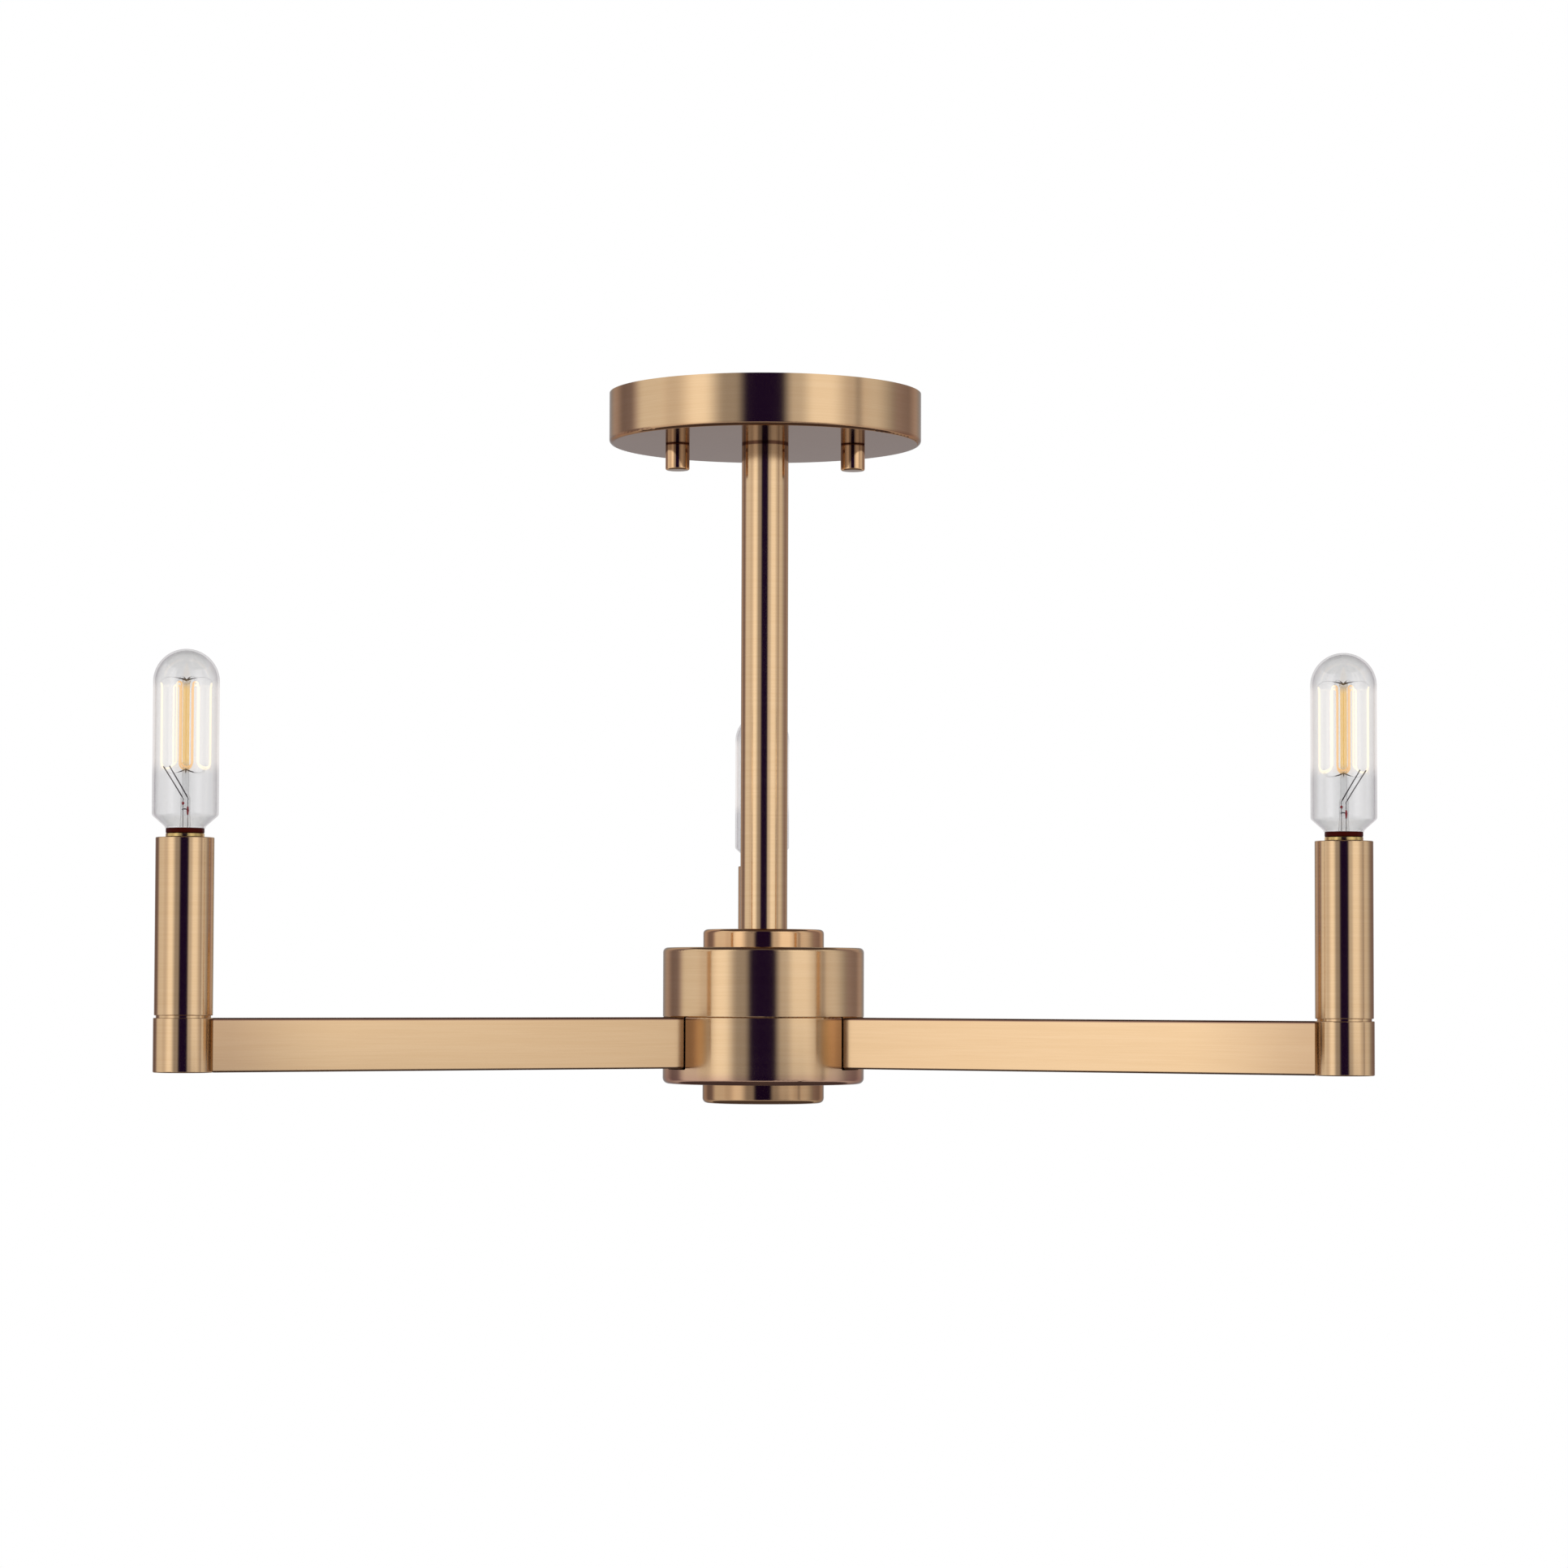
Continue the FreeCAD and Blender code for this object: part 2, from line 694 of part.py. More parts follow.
def cup():
    """Turned cup at the arm's outer end, with the neck and spigot of the sleeve's seat."""
    body = disc(cup_radius, arm_foot, seam, arm_reach)
    body = round_rims(body, cup_edge_radius, arm_foot, cup_radius, arm_reach)
    body = round_rims(body, cup_edge_radius * 0.6, seam, cup_radius, arm_reach)
    body = body.fuse(disc(neck_radius, seam, sleeve_foot, arm_reach))
    body = body.fuse(disc(spigot_radius, sleeve_foot, spigot_top, arm_reach))
    hollow = disc(cup_radius - cup_wall, arm_foot + cup_wall, seam - cup_top_wall, arm_reach)
    body = body.cut(hollow)
    body = body.cut(disc(pipe_radius + thread_gap, seam - cup_top_wall, spigot_top, arm_reach))
    side_hole = Part.makeCylinder(cup_side_hole_radius, cup_radius,
                                  Vector(arm_reach - cup_radius, 0, arm_middle), Vector(1, 0, 0))
    return body.cut(side_hole).removeSplitter()


# Sockets --------------------------------------------------------------------

def socket_pipes():
    """Hollow threads that stand in the cups and carry the socket brackets."""
    foot = seam - cup_top_wall
    top = spigot_top + bracket_thickness + pipe_nut_height + pipe_end_past_nut
    pipe = tube(pipe_radius, pipe_bore_radius, foot, top, arm_reach)
    return Part.makeCompound([to_arm(pipe, angle) for angle in arm_angles])


def socket_bracket():
    """Strip along +X, bent into a C: a foot under the nut, a leg, and a tab under the socket."""
    leg_offset = pipe_nut_across_flats / 2.0 + hole_gap
    near = arm_reach - leg_offset
    leg_face = arm_reach + leg_offset
    leg_back = leg_face + bracket_thickness
    half_base = pipe_radius + bracket_side_margin
    half_leg = bracket_leg_width / 2.0
    foot = block(near, leg_face, -half_base, half_base, spigot_top, spigot_top + bracket_thickness)
    tab = block(near, leg_face, -half_base, half_base, socket_foot - bracket_thickness, socket_foot)
    leg = block(leg_face, leg_back, -half_leg, half_leg, spigot_top, socket_foot)
    room = disc(spigot_radius - hole_gap, spigot_top, socket_foot, arm_reach)
    bracket = foot.fuse(leg).fuse(tab).common(room)
    bracket = bracket.cut(disc(pipe_radius + thread_gap, spigot_top,
                               spigot_top + bracket_thickness, arm_reach))
    bracket = bracket.cut(disc(bracket_wire_hole_radius, socket_foot - bracket_thickness,
                               socket_foot, arm_reach))
    return bracket.removeSplitter()


def socket_brackets():
    """The three brackets."""
    return Part.makeCompound([to_arm(socket_bracket(), angle) for angle in arm_angles])


def socket_screw_shell():
    """Screw shell and centre contact of one lamp holder."""
    return Part.makeCompound([socket_shell(), socket_contact()])


def socket_body():
    """Insulating body of the lamp holder, bored for its screw shell."""
    body = disc(socket_radius, socket_foot, socket_top, arm_reach)
    body = round_rims(body, 0.5, socket_top, socket_radius, arm_reach)
    shell_outside = shell_inner_radius + shell_wall
    body = body.cut(disc(shell_outside + weld_gap, socket_floor, socket_top, arm_reach))
    return body.cut(disc(socket_recess_radius, socket_foot,
                         socket_foot + socket_recess_depth, arm_reach))


def socket_shell():
    """Thin screw shell that the lamp turns into."""
    return tube(shell_inner_radius + shell_wall, shell_inner_radius, socket_floor,
                socket_top - shell_top_inset, arm_reach)


def socket_contact():
    """Sprung centre contact on the socket's floor."""
    stem_foot_level = socket_floor
    post = disc(contact_radius * 0.6, stem_foot_level, contact_top - contact_height, arm_reach)
    button = disc(contact_radius, contact_top - contact_height, contact_top, arm_reach)
    button = round_rims(button, contact_height * 0.4, contact_top, contact_radius, arm_reach)
    return post.fuse(button)


def sleeve():
    """Plain tube that stands on the cup's neck and hides the socket."""
    body = tube(sleeve_radius, sleeve_inner_radius, sleeve_foot, sleeve_top, arm_reach)
    for level in (sleeve_foot, sleeve_top):
        body = round_rims(body, sleeve_edge_radius, level, sleeve_radius, arm_reach)
    return body


# Lamps ----------------------------------------------------------------------

def bulb_outline(radius, neck, foot, cone_top, top):
    """Half outline of a tubular lamp: neck, cone, straight side and round dome."""
    shoulder = top - radius
    side = radius * math.sin(math.radians(45.0))
    axis_x = arm_reach
    points = [Vector(axis_x, 0, foot), Vector(axis_x + neck, 0, foot),
              Vector(axis_x + radius, 0, cone_top), Vector(axis_x + radius, 0, shoulder),
              Vector(axis_x, 0, top)]
    dome_middle = Vector(axis_x + side, 0, shoulder + side)
    edges = [Part.LineSegment(points[k], points[k + 1]).toShape() for k in range(3)]
    edges.append(Part.Arc(points[3], dome_middle, points[4]).toShape())
    edges.append(Part.LineSegment(points[4], points[0]).toShape())
    face = Part.Face(Part.Wire(edges))
    return face.revolve(Vector(axis_x, 0, 0), UP, 360.0)


def bulb_glass():
    """Thin clear envelope, open at its neck."""
    cone_top = glass_foot + glass_cone_height
    outside = bulb_outline(glass_radius, glass_neck_radius, glass_foot, cone_top, glass_top)
    inside = bulb_outline(glass_radius - glass_wall, glass_neck_radius - glass_wall, glass_foot,
                          cone_top, glass_top - glass_wall)
    return outside.cut(inside)


def bulb_collar():
    """Dark ring of cement between the glass and the metal base."""
    return disc(collar_radius, collar_foot, glass_foot, arm_reach)


def bulb_base():
    """Metal base under its collar: a skirt, the screw thread's body and an insulated tip."""
    skirt = disc(base_skirt_radius, skirt_foot, collar_foot, arm_reach)
    thread = disc(base_thread_radius, thread_foot, skirt_foot, arm_reach)
    taper = cone(base_tip_radius, base_thread_radius, tip_foot + 1.0, thread_foot, arm_reach)
    tip = disc(base_tip_radius, tip_foot, tip_foot + 1.0, arm_reach)
    base = skirt.fuse(thread).fuse(taper).fuse(tip)
    return Part.makeCompound([base, bulb_collar()])


def straight_wire(start, end, radius):
    """Round wire between two points."""
    way = end - start
    return Part.makeCylinder(radius, way.Length, start, way)


def bulb_mount():
    """Glass stem that stands on the collar, with its rod, top button and lead-in wires."""
    flare_top = glass_foot + mount_flare_height
    rod_top = glass_foot + filament_high + 1.5
    flare = disc(mount_flare_radius, glass_foot, flare_top, arm_reach)
    rod = disc(mount_rod_radius, flare_top, rod_top, arm_reach)
    button = disc(mount_rod_radius * 2.0, rod_top - 1.0, rod_top, arm_reach)
    mount = flare.fuse(rod).fuse(button)
    for side in (-1.0, 1.0):
        start = Vector(arm_reach + side * lead_in_spread, 0, flare_top - 1.0)
        end = filament_end(side)
        mount = mount.fuse(straight_wire(start, end, lead_in_radius))
    for k in range(0, filament_legs, 4):
        angle = filament_angle(k + 0.5)
        hook = Vector(arm_reach + filament_cage_radius * math.cos(angle),
                      filament_cage_radius * math.sin(angle), rod_top - 0.5)
        mount = mount.fuse(straight_wire(Vector(arm_reach, 0, rod_top - 0.5), hook,
                                         mount_hook_radius))
    return mount


def filament_angle(k):
    """Direction of a filament leg about the lamp's axis, in radians."""
    return 2.0 * math.pi * (k + 0.5) / filament_legs


def filament_leg(k, level):
    """Point on a filament leg at one level."""
    angle = filament_angle(k)
    return Vector(arm_reach + filament_cage_radius * math.cos(angle),
                  filament_cage_radius * math.sin(angle), level)


def filament_end(side):
    """Lower end of the filament's first or last leg, where a lead-in wire meets it."""
    leg = 0 if side > 0 else filament_legs - 1
    return filament_leg(leg, glass_foot + filament_low)


def bulb_filament():
    """One wire up and down round a cage: straight legs joined by half-round bends."""
    half_pitch = filament_cage_radius * math.sin(math.pi / filament_legs)
    low = glass_foot + filament_low + half_pitch
    high = glass_foot + filament_high - half_pitch
    edges = []
    for k in range(filament_legs):
        upward = k % 2 == 0
        begin = low if upward else high
        end = high if upward else low
        if k == 0:
            begin = glass_foot + filament_low
        if k == filament_legs - 1:
            end = glass_foot + filament_low
        edges.append(Part.LineSegment(filament_leg(k, begin), filament_leg(k, end)).toShape())
        if k < filament_legs - 1:
            first = filament_leg(k, end)
            last = filament_leg(k + 1, end)
            middle = (first + last) * 0.5
            middle.z = end + (half_pitch if upward else -half_pitch)
            edges.append(Part.Arc(first, middle, last).toShape())
    return round_lead(Part.Wire(edges), filament_wire_radius)


# Wiring ---------------------------------------------------------------------

def canopy_direction(angle):
    """Level direction of a lead inside the canopy."""
    return Vector(math.cos(math.radians(angle)), math.sin(math.radians(angle)), 0)


def stem_leads():
    """Two insulated leads from the wire nuts in the canopy down the stem to the block."""
    leads = []
    for x, angle in zip((lead_spread, -lead_spread), lead_angles_in_canopy):
        low = Vector(x, lead_spread / 2.0, block_top - block_entry_depth)
        corner = Vector(x, lead_spread / 2.0, lead_level_in_canopy)
        run = lead_run_in_canopy + wire_nut_bore_depth
        far = corner + canopy_direction(angle) * run
        leads.append(round_lead(bent_path([low, corner, far], [lead_bend_in_canopy]), lead_radius))
    return Part.makeCompound(leads)


def wire_nuts():
    """Twist-on connectors on the stem leads, left open for the house's wires."""
    nuts = []
    for x, angle in zip((lead_spread, -lead_spread), lead_angles_in_canopy):
        way = canopy_direction(angle)
        start = Vector(x, lead_spread / 2.0, lead_level_in_canopy) + way * lead_run_in_canopy
        body = Part.makeCone(wire_nut_mouth_radius, wire_nut_tip_radius, wire_nut_length, start, way)
        bore = Part.makeCylinder(lead_radius + thread_gap, wire_nut_bore_depth, start, way)
        nuts.append(body.cut(bore))
    return Part.makeCompound(nuts)


def earth_lead():
    """Bare lead from the block up the stem to a ring terminal under the earth screw."""
    terminal_foot = bar_low_foot - earth_terminal_thickness
    tail_x = earth_screw_position + earth_terminal_tail
    low = Vector(0, -earth_lead_offset, block_top - block_entry_depth)
    corner = Vector(0, -earth_lead_offset, lead_level_in_canopy)
    turn = Vector(tail_x, 0, lead_level_in_canopy)
    end = Vector(tail_x, 0, terminal_foot)
    bends = [lead_bend_in_canopy * 0.8, lead_bend_in_canopy * 0.6]
    lead = round_lead(bent_path([low, corner, turn, end], bends), earth_lead_radius)
    half_tail = earth_terminal_tail_width / 2.0
    ring = disc(earth_terminal_radius, terminal_foot, bar_low_foot, earth_screw_position)
    tail = block(earth_screw_position, tail_x + half_tail, -half_tail, half_tail,
                 terminal_foot, bar_low_foot)
    hole = disc(earth_screw_radius + thread_gap, terminal_foot, bar_low_foot, earth_screw_position)
    return lead.fuse(ring.fuse(tail).cut(hole))


def arm_lead(side):
    """Insulated lead along +X from the block through an arm and up to its socket."""
    top = Vector(lead_drop(), side, plate_top + block_entry_depth)
    inner = Vector(lead_drop(), side, arm_middle)
    outer = Vector(arm_reach, side, arm_middle)
    end = Vector(arm_reach, side, socket_foot + socket_recess_depth)
    path = bent_path([top, inner, outer, end], [lead_bend_in_arm, lead_bend_in_cup])
    return round_lead(path, lead_radius)


def arm_leads():
    """The two leads of each arm."""
    pair = [arm_lead(-lead_spread), arm_lead(lead_spread)]
    return Part.makeCompound([to_arm(lead, angle) for angle in arm_angles for lead in pair])


# Assembly -------------------------------------------------------------------

nodes = {
    "box_crossbar": box_crossbar(),
    "canopy_crossbar": canopy_crossbar(),
    "crossbar_rivet": crossbar_rivet(),
    "canopy_studs": canopy_studs(),
    "stud_nuts": stud_nuts(),
    "earth_screw": earth_screw(),
    "earth_lead": earth_lead(),
    "canopy": canopy(),
    "knob_nut_left": knob_nut(-1.0),
    "knob_nut_right": knob_nut(1.0),
    "canopy_pipe": canopy_pipe(),
    "pipe_nuts": pipe_nuts(),
    "stem": stem(),
    "stem_bushes": stem_bushes(),
    "stem_leads": stem_leads(),
    "wire_nuts": wire_nuts(),
    "hub_pipe": hub_pipe(),
    "hub_top_ring": hub_top_ring(),
    "hub_upper_body": hub_upper_body(),
    "hub_posts": hub_posts(),
    "arm_plate": arm_plate(),
    "plate_screws": plate_screws(),
    "centre_stud": centre_stud(),
    "centre_nuts": centre_nuts(),
    "terminal_block": terminal_block(),
    "hub_lower_body": hub_lower_body(),
    "bottom_cap": bottom_cap(),
    "arm_screws": arm_screws(),
    "arm_nut_bars": arm_nut_bars(),
    "arm_leads": arm_leads(),
    "socket_pipes": socket_pipes(),
    "socket_brackets": socket_brackets(),
}

per_arm = {
    "arm": arm_tube(),
    "cup": cup(),
    "socket_body": socket_body(),
    "socket_shell": socket_screw_shell(),
    "sleeve": sleeve(),
    "bulb_base": bulb_base(),
    "bulb_glass": bulb_glass(),
    "bulb_mount": bulb_mount(),
    "bulb_filament": bulb_filament(),
}

for number, angle in enumerate(arm_angles, start=1):
    for name, shape in per_arm.items():
        nodes["%s_%d" % (name, number)] = to_arm(shape, angle)

os.makedirs("parts", exist_ok=True)
for name, shape in nodes.items():
    shape.exportStep("parts/%s.step" % name)
    print("%-20s solids %d volume %.1f valid %s"
          % (name, len(shape.Solids), shape.Volume, shape.isValid()))
print("nodes", len(nodes))
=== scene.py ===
import math

import bpy
import numpy as np
from mathutils import Matrix, Vector


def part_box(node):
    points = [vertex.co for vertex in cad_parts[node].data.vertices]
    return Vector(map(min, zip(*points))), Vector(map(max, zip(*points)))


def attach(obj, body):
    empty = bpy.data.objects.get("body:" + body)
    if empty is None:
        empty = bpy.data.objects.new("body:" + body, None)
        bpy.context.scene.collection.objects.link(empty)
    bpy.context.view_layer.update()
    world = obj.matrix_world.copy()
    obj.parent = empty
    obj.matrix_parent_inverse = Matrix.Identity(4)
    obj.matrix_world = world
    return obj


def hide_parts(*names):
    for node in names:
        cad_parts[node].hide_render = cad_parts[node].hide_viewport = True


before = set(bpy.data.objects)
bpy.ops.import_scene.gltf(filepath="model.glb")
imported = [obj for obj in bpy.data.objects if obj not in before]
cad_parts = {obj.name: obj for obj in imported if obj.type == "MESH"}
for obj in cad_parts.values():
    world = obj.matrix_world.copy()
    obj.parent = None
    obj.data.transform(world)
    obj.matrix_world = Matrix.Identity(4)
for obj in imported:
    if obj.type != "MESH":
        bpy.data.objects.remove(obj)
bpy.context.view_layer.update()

bl_info = {
    "name": "Semi Flush Ceiling Light",
    "version": (1, 0, 0),
    "blender": (4, 5, 0),
    "location": "3D View > Sidebar > Ceiling Light",
    "description": "Finishes, lamps, threads and stage of a three-arm semi flush ceiling light",
    "category": "Object",
}

MM = 0.001
UP = np.array([0.0, 0.0, 1.0])
ARM_ANGLES = {1: 90.0, 2: 210.0, 3: 330.0}


# Measures of the CAD nodes at rest, in metres ---

def corners_of(node):
    """Lowest and highest corner of a node, as two rows."""
    return np.array([list(corner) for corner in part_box(node)], float)


def levels(node):
    """Lowest and highest level of a node."""
    return tuple(corners_of(node)[:, 2])


def middle(node):
    """Centre of a node, as x and y."""
    return tuple(corners_of(node).sum(axis=0)[:2] / 2.0)


def half(node, axis=0):
    """Half of a node's extent along an axis, such as a round piece's radius."""
    return np.ptp(corners_of(node)[:, axis]) / 2.0


def arm_end(arm):
    """Centre of an arm's cup, as x and y."""
    return middle("cup_%d" % arm)


# Sizes and colours a user would change ---

def number(name, description, default, **more):
    """A number property."""
    return bpy.props.FloatProperty(name=name, description=description, default=default, **more)


def length(name, description, millimetres):
    """A length property in metres, shown in the scene's unit."""
    return number(name, description, millimetres * MM, min=0.0, unit="LENGTH", precision=5)


def turn_by(name, description, degrees):
    """An angle property in radians."""
    return number(name, description, math.radians(degrees), subtype="ANGLE")


def share(name, description, default):
    """A property between 0 and 1."""
    return number(name, description, default, min=0.0, max=1.0, subtype="FACTOR")


def paint(name, description, default):
    """A colour property in scene-linear red, green and blue."""
    return bpy.props.FloatVectorProperty(name=name, description=description, default=default,
                                         size=3, min=0.0, max=1.0, subtype="COLOR")


class LampSizes(bpy.types.PropertyGroup):
    """Sizes of the lamps that the CAD solids leave plain."""

    wall: length("Glass wall", "Thickness of the lamp's glass", 0.7)
    neck: length("Glass neck", "Outer radius of the glass where it meets the collar", 7.6)
    cone: length("Cone height", "Height of the glass cone above the collar", 4.9)
    collar: length("Collar height", "Height of the cement ring under the glass", 1.8)
    pitch: length("Base pitch", "Distance between turns of the lamp's screw base", 2.54)
    thread_depth: length("Base thread depth", "Depth of the rolled thread", 0.55)
    stem_tube: length("Mount tube", "Outer radius of the glass tube in the lamp's foot", 2.1)
    rod: length("Mount rod", "Radius of the glass rod that carries the filament", 1.25)
    lead_in: length("Lead-in wire", "Radius of the lead-in wires", 0.24)
    cage: length("Filament cage", "Outer radius of the ring of filament legs", 9.75)
    cage_foot: length("Cage foot", "Height of the lower bends over the plain filament's foot", 1.0)
    cage_head: length("Cage head", "Drop of the upper bends under the plain filament's top", 1.8)
    filament: length("Filament wire", "Radius of the coiled filament wire", 0.38)
    bend: length("Filament bend", "Greatest depth of the filament's bends", 2.4)


class Finishes(bpy.types.PropertyGroup):
    """Colours and gloss of the light's finishes."""

    brass: paint("Satin brass", "Reflected colour of the brass", (0.86, 0.605, 0.352))
    copper: paint("Polished brass", "Reflected colour of the knobs, ring and cap",
                  (0.90, 0.580, 0.318))
    satin: share("Satin", "Roughness of the brushed brass", 0.125)
    zinc: paint("Zinc", "Colour of the plated steel fixings", (0.56, 0.57, 0.58))
    phenolic: paint("Lamp holder", "Colour of the holders' moulded body", (0.035, 0.028, 0.024))
    block: paint("Terminal block", "Colour of the terminal block", (0.62, 0.60, 0.54))
    connector: paint("Twist connectors", "Colour of the twist-on connectors", (0.62, 0.17, 0.03))
    lead: paint("Leads", "Colour of the leads' insulation", (0.60, 0.57, 0.50))
    earth: paint("Earth screw", "Colour of the earth screw", (0.035, 0.22, 0.07))
    glass: paint("Glass", "Mirror colour of the lamps' glass", (0.50, 0.485, 0.50))
    glow: paint("Filament glow", "Colour of the lit filament", (1.0, 0.92, 0.74))
    cement: paint("Collar", "Colour of the cement ring under the glass", (0.070, 0.0045, 0.002))


class StageSettings(bpy.types.PropertyGroup):
    """Camera, lights and floor."""

    distance: length("Camera distance", "From the stem's axis to the camera", 1750.0)
    height: length("Camera drop", "How far the camera is below the ceiling", 240.0)
    swing: turn_by("Swing", "Camera's turn round the stem", -0.20)
    yaw: turn_by("Yaw", "Camera's aim to the right of the stem", 0.264)
    pitch: turn_by("Pitch", "Camera's aim above level", 2.65)
    roll: turn_by("Roll", "Camera's turn about its own axis", 0.17)
    lens: number("Lens", "Focal length in millimetres", 99.04, min=10.0, unit="CAMERA")
    floor: length("Floor drop", "From the ceiling down to the floor", 1000.0)
    panel: share("Panels", "Brightness of the soft panels", 1.0)
    ambient: share("Ambient", "Level of the light all round", 0.6)
    key: number("Key light", "Power of the upper soft light", 14.0, min=0.0, unit="POWER")


# Shader maths ---

class Flow:
    """One output of a shader node. Arithmetic on it adds Math nodes."""

    def __init__(self, tree, socket):
        self.tree = tree
        self.socket = socket

    def maths(self, operation, *others):
        """A Math node's result for this output and the others, in that order."""
        return self.tree.node("Math", enumerate((self, *others)), operation=operation)

    def __add__(self, other):
        return self.maths("ADD", other)

    def __rsub__(self, other):
        return self.maths("MULTIPLY_ADD", -1.0, other)

    def __mul__(self, other):
        return self.maths("MULTIPLY", other)

    def __pow__(self, other):
        return self.maths("POWER", other)

    def __gt__(self, other):
        return self.maths("GREATER_THAN", other)

    __radd__ = __add__
    __rmul__ = __mul__

    def smooth(self, start, end):
        """0 below start, 1 above end, and a smooth step between them."""
        return self.tree.node("MapRange", {"Value": self, "From Min": start, "From Max": end},
                              interpolation_type="SMOOTHSTEP")


class Tree:
    """A material's or world's node tree, built through one node method."""

    def __init__(self, owner):
        owner.use_nodes = True
        self.nodes = owner.node_tree.nodes
        self.links = owner.node_tree.links
        self.nodes.clear()

    def node(self, kind, inputs=(), out=0, **settings):
        """Add a shader node: its settings first, then its inputs' values or links. Returns one
        output."""
        made = self.nodes.new("ShaderNode" + kind)
        for key, value in settings.items():
            setattr(made, key, value)
        for key, value in dict(inputs).items():
            socket = made.inputs[key]
            if isinstance(value, Flow):
                self.links.new(value.socket, socket)
            elif socket.type == "RGBA":
                socket.default_value = (*value, 1.0)
            else:
                socket.default_value = value
        return Flow(self, made.outputs[out]) if len(made.outputs) else None

    def mix(self, factor, first, second):
        """Colour between two colours, which are the node's sockets 6 and 7 (result: 2)."""
        return self.node("Mix", {0: factor, 6: first, 7: second}, 2, data_type="RGBA")

    def parts(self, centre=(0.0, 0.0, 0.0), turn=0.0):
        """The three numbers of a place seen from a centre."""
        made = self.node("SeparateXYZ", {0: self.place(centre, turn)})
        return [Flow(self, socket) for socket in made.socket.node.outputs]

    def place(self, centre=(0.0, 0.0, 0.0), turn=0.0):
        """Object coordinates with a new centre, turned about the upright axis by an angle."""
        here = self.node("TexCoord", out="Object")
        moved = self.node("VectorMath", {0: here, 1: centre}, operation="SUBTRACT")
        if not turn:
            return moved
        return self.node("Mapping",
                         {"Vector": moved, "Rotation": (0.0, 0.0, -math.radians(turn))})

    def vector(self, *numbers):
        """A vector of three numbers."""
        return self.node("CombineXYZ", enumerate(numbers))

    def noise(self, vector, scale, detail=2.0, w=None):
        """Soft noise from 0 to 1, in four dimensions where w is given."""
        fourth = {} if w is None else {"W": w}
        return self.node("TexNoise",
                         {"Vector": vector, "Scale": scale, "Detail": detail, **fourth},
                         noise_dimensions="4D" if fourth else "3D")

    def bump(self, height, distance):
        return self.node("Bump", {"Height": height, "Distance": distance})

    def surface(self, shader, output="Material"):
        """Link a shader to the tree's output."""
        self.node("Output" + output, {"Surface": shader})

    def principled(self, **sockets):
        """The surface shader, linked to the material's output."""
        inputs = {key.replace("_", " "): value for key, value in sockets.items()}
        self.surface(self.node("BsdfPrincipled", inputs))


def material(name):
    """A new material and its tree."""
    made = bpy.data.materials.new(name)
    return made, Tree(made)


# Finishes ---

def brass(name, grain, level=1.0, polished=False, painted_shade=(), lift=1.0):
    """Satin brass. grain gives the tree's four numbers that the brushed lines follow: two that
    change fast across the lines and two that change slowly along them. The pairs of painted shade
    each hold a mask, which gives a number from 0 to 1 for a place, and the darker share of each
    colour that it paints there: painted shade and painted dark reflections at joints, rims and
    edges. lift paints the whole finish brighter above 1 and darker below it, as lit and shaded
    copies of the one brass."""
    look = bpy.context.scene.ceiling_light_finishes
    made, tree = material("satin_brass_" + name)
    across, upright, along, along_too = grain(tree)

    def drawn(fine, coarse, detail):
        """Noise that changes fast across the lines and slowly along them."""
        where = tree.vector(across * fine, upright * fine, along * coarse)
        return tree.noise(where, 1.0, detail, along_too * coarse)

    lines, streaks = drawn(2600.0, 40.0, 2.0), drawn(420.0, 14.0, 3.0)
    clouds = tree.noise(tree.place(), 26.0, 3.0)
    bright = lift * np.array(look.copper if polished else look.brass)
    colour = tree.mix((lines * 0.5 + streaks * 0.5).smooth(0.34, 0.66),
                      bright * (0.955, 0.935, 0.905), bright)
    # Painted shade: where a mask is 1, the colour darkens to its shaded share.
    for shade_mask, shaded_share in painted_shade:
        amount = shade_mask(tree) * (0.75 + clouds * 0.5)
        colour = tree.mix(amount.maths("MINIMUM", 1.0), colour, bright * shaded_share)
    relief = (0.8 if polished else 1.6) * 1e-6
    tree.principled(Base_Color=colour, Metallic=1.0, Specular_Tint=(0.40, 0.40, 0.42),
                    Roughness=look.satin * level * (0.86 + streaks * 0.18 + clouds * 0.10),
                    Normal=tree.bump(lines * 0.6 + streaks * 0.4, relief))
    return made


def turned_grain(centre=(0.0, 0.0)):
    """Brushed lines that run round an upright axis: distance from the axis and height change
    fast, and x and y change slowly along each line."""
    def grain(tree):
        x, y, z = tree.parts((*centre, 0.0))
        return (x * x + y * y) ** 0.5, z, x, y
    return grain


def along_arm(tree, arm):
    """Distance along an arm, across it and above its middle line."""
    return tree.parts((0.0, 0.0, sum(levels("arm_%d" % arm)) / 2.0), ARM_ANGLES[arm])


def straight_grain(arm):
    """Brushed lines that run level along an arm."""
    def grain(tree):
        x, y, z = along_arm(tree, arm)
        return y, z, x, y * 0.0
    return grain


def arm_painted_shade(arm):
    """Painted shade that deepens over the arm's outer end, next to its cup, and painted dark
    reflections along the long edges of its two side faces, more above than below."""
    reach, half_width, half_height = (math.hypot(*arm_end(arm)), half("arm_1"),
                                      half("arm_%d" % arm, 2))

    def shade_mask(tree):
        x, y, z = along_arm(tree, arm)
        end = x.smooth(reach - 66.0 * MM, reach - 4.0 * MM) * 0.36
        above = z.smooth(half_height - 1.2 * MM, half_height - 0.8 * MM)
        below = (0.0 - z).smooth(half_height - 0.9 * MM, half_height - 0.5 * MM) * 0.6
        side = y.maths("ABSOLUTE") > (half_width - 0.4 * MM)
        return end.maths("MAXIMUM", (above + below) * side)
    return shade_mask


def height_painted_shade(start, end):
    """Painted shade that deepens smoothly from one height to another."""
    def shade_mask(tree):
        z = tree.parts()[2]
        return z.smooth(start, end) if end > start else 1.0 - z.smooth(end, start)
    return shade_mask


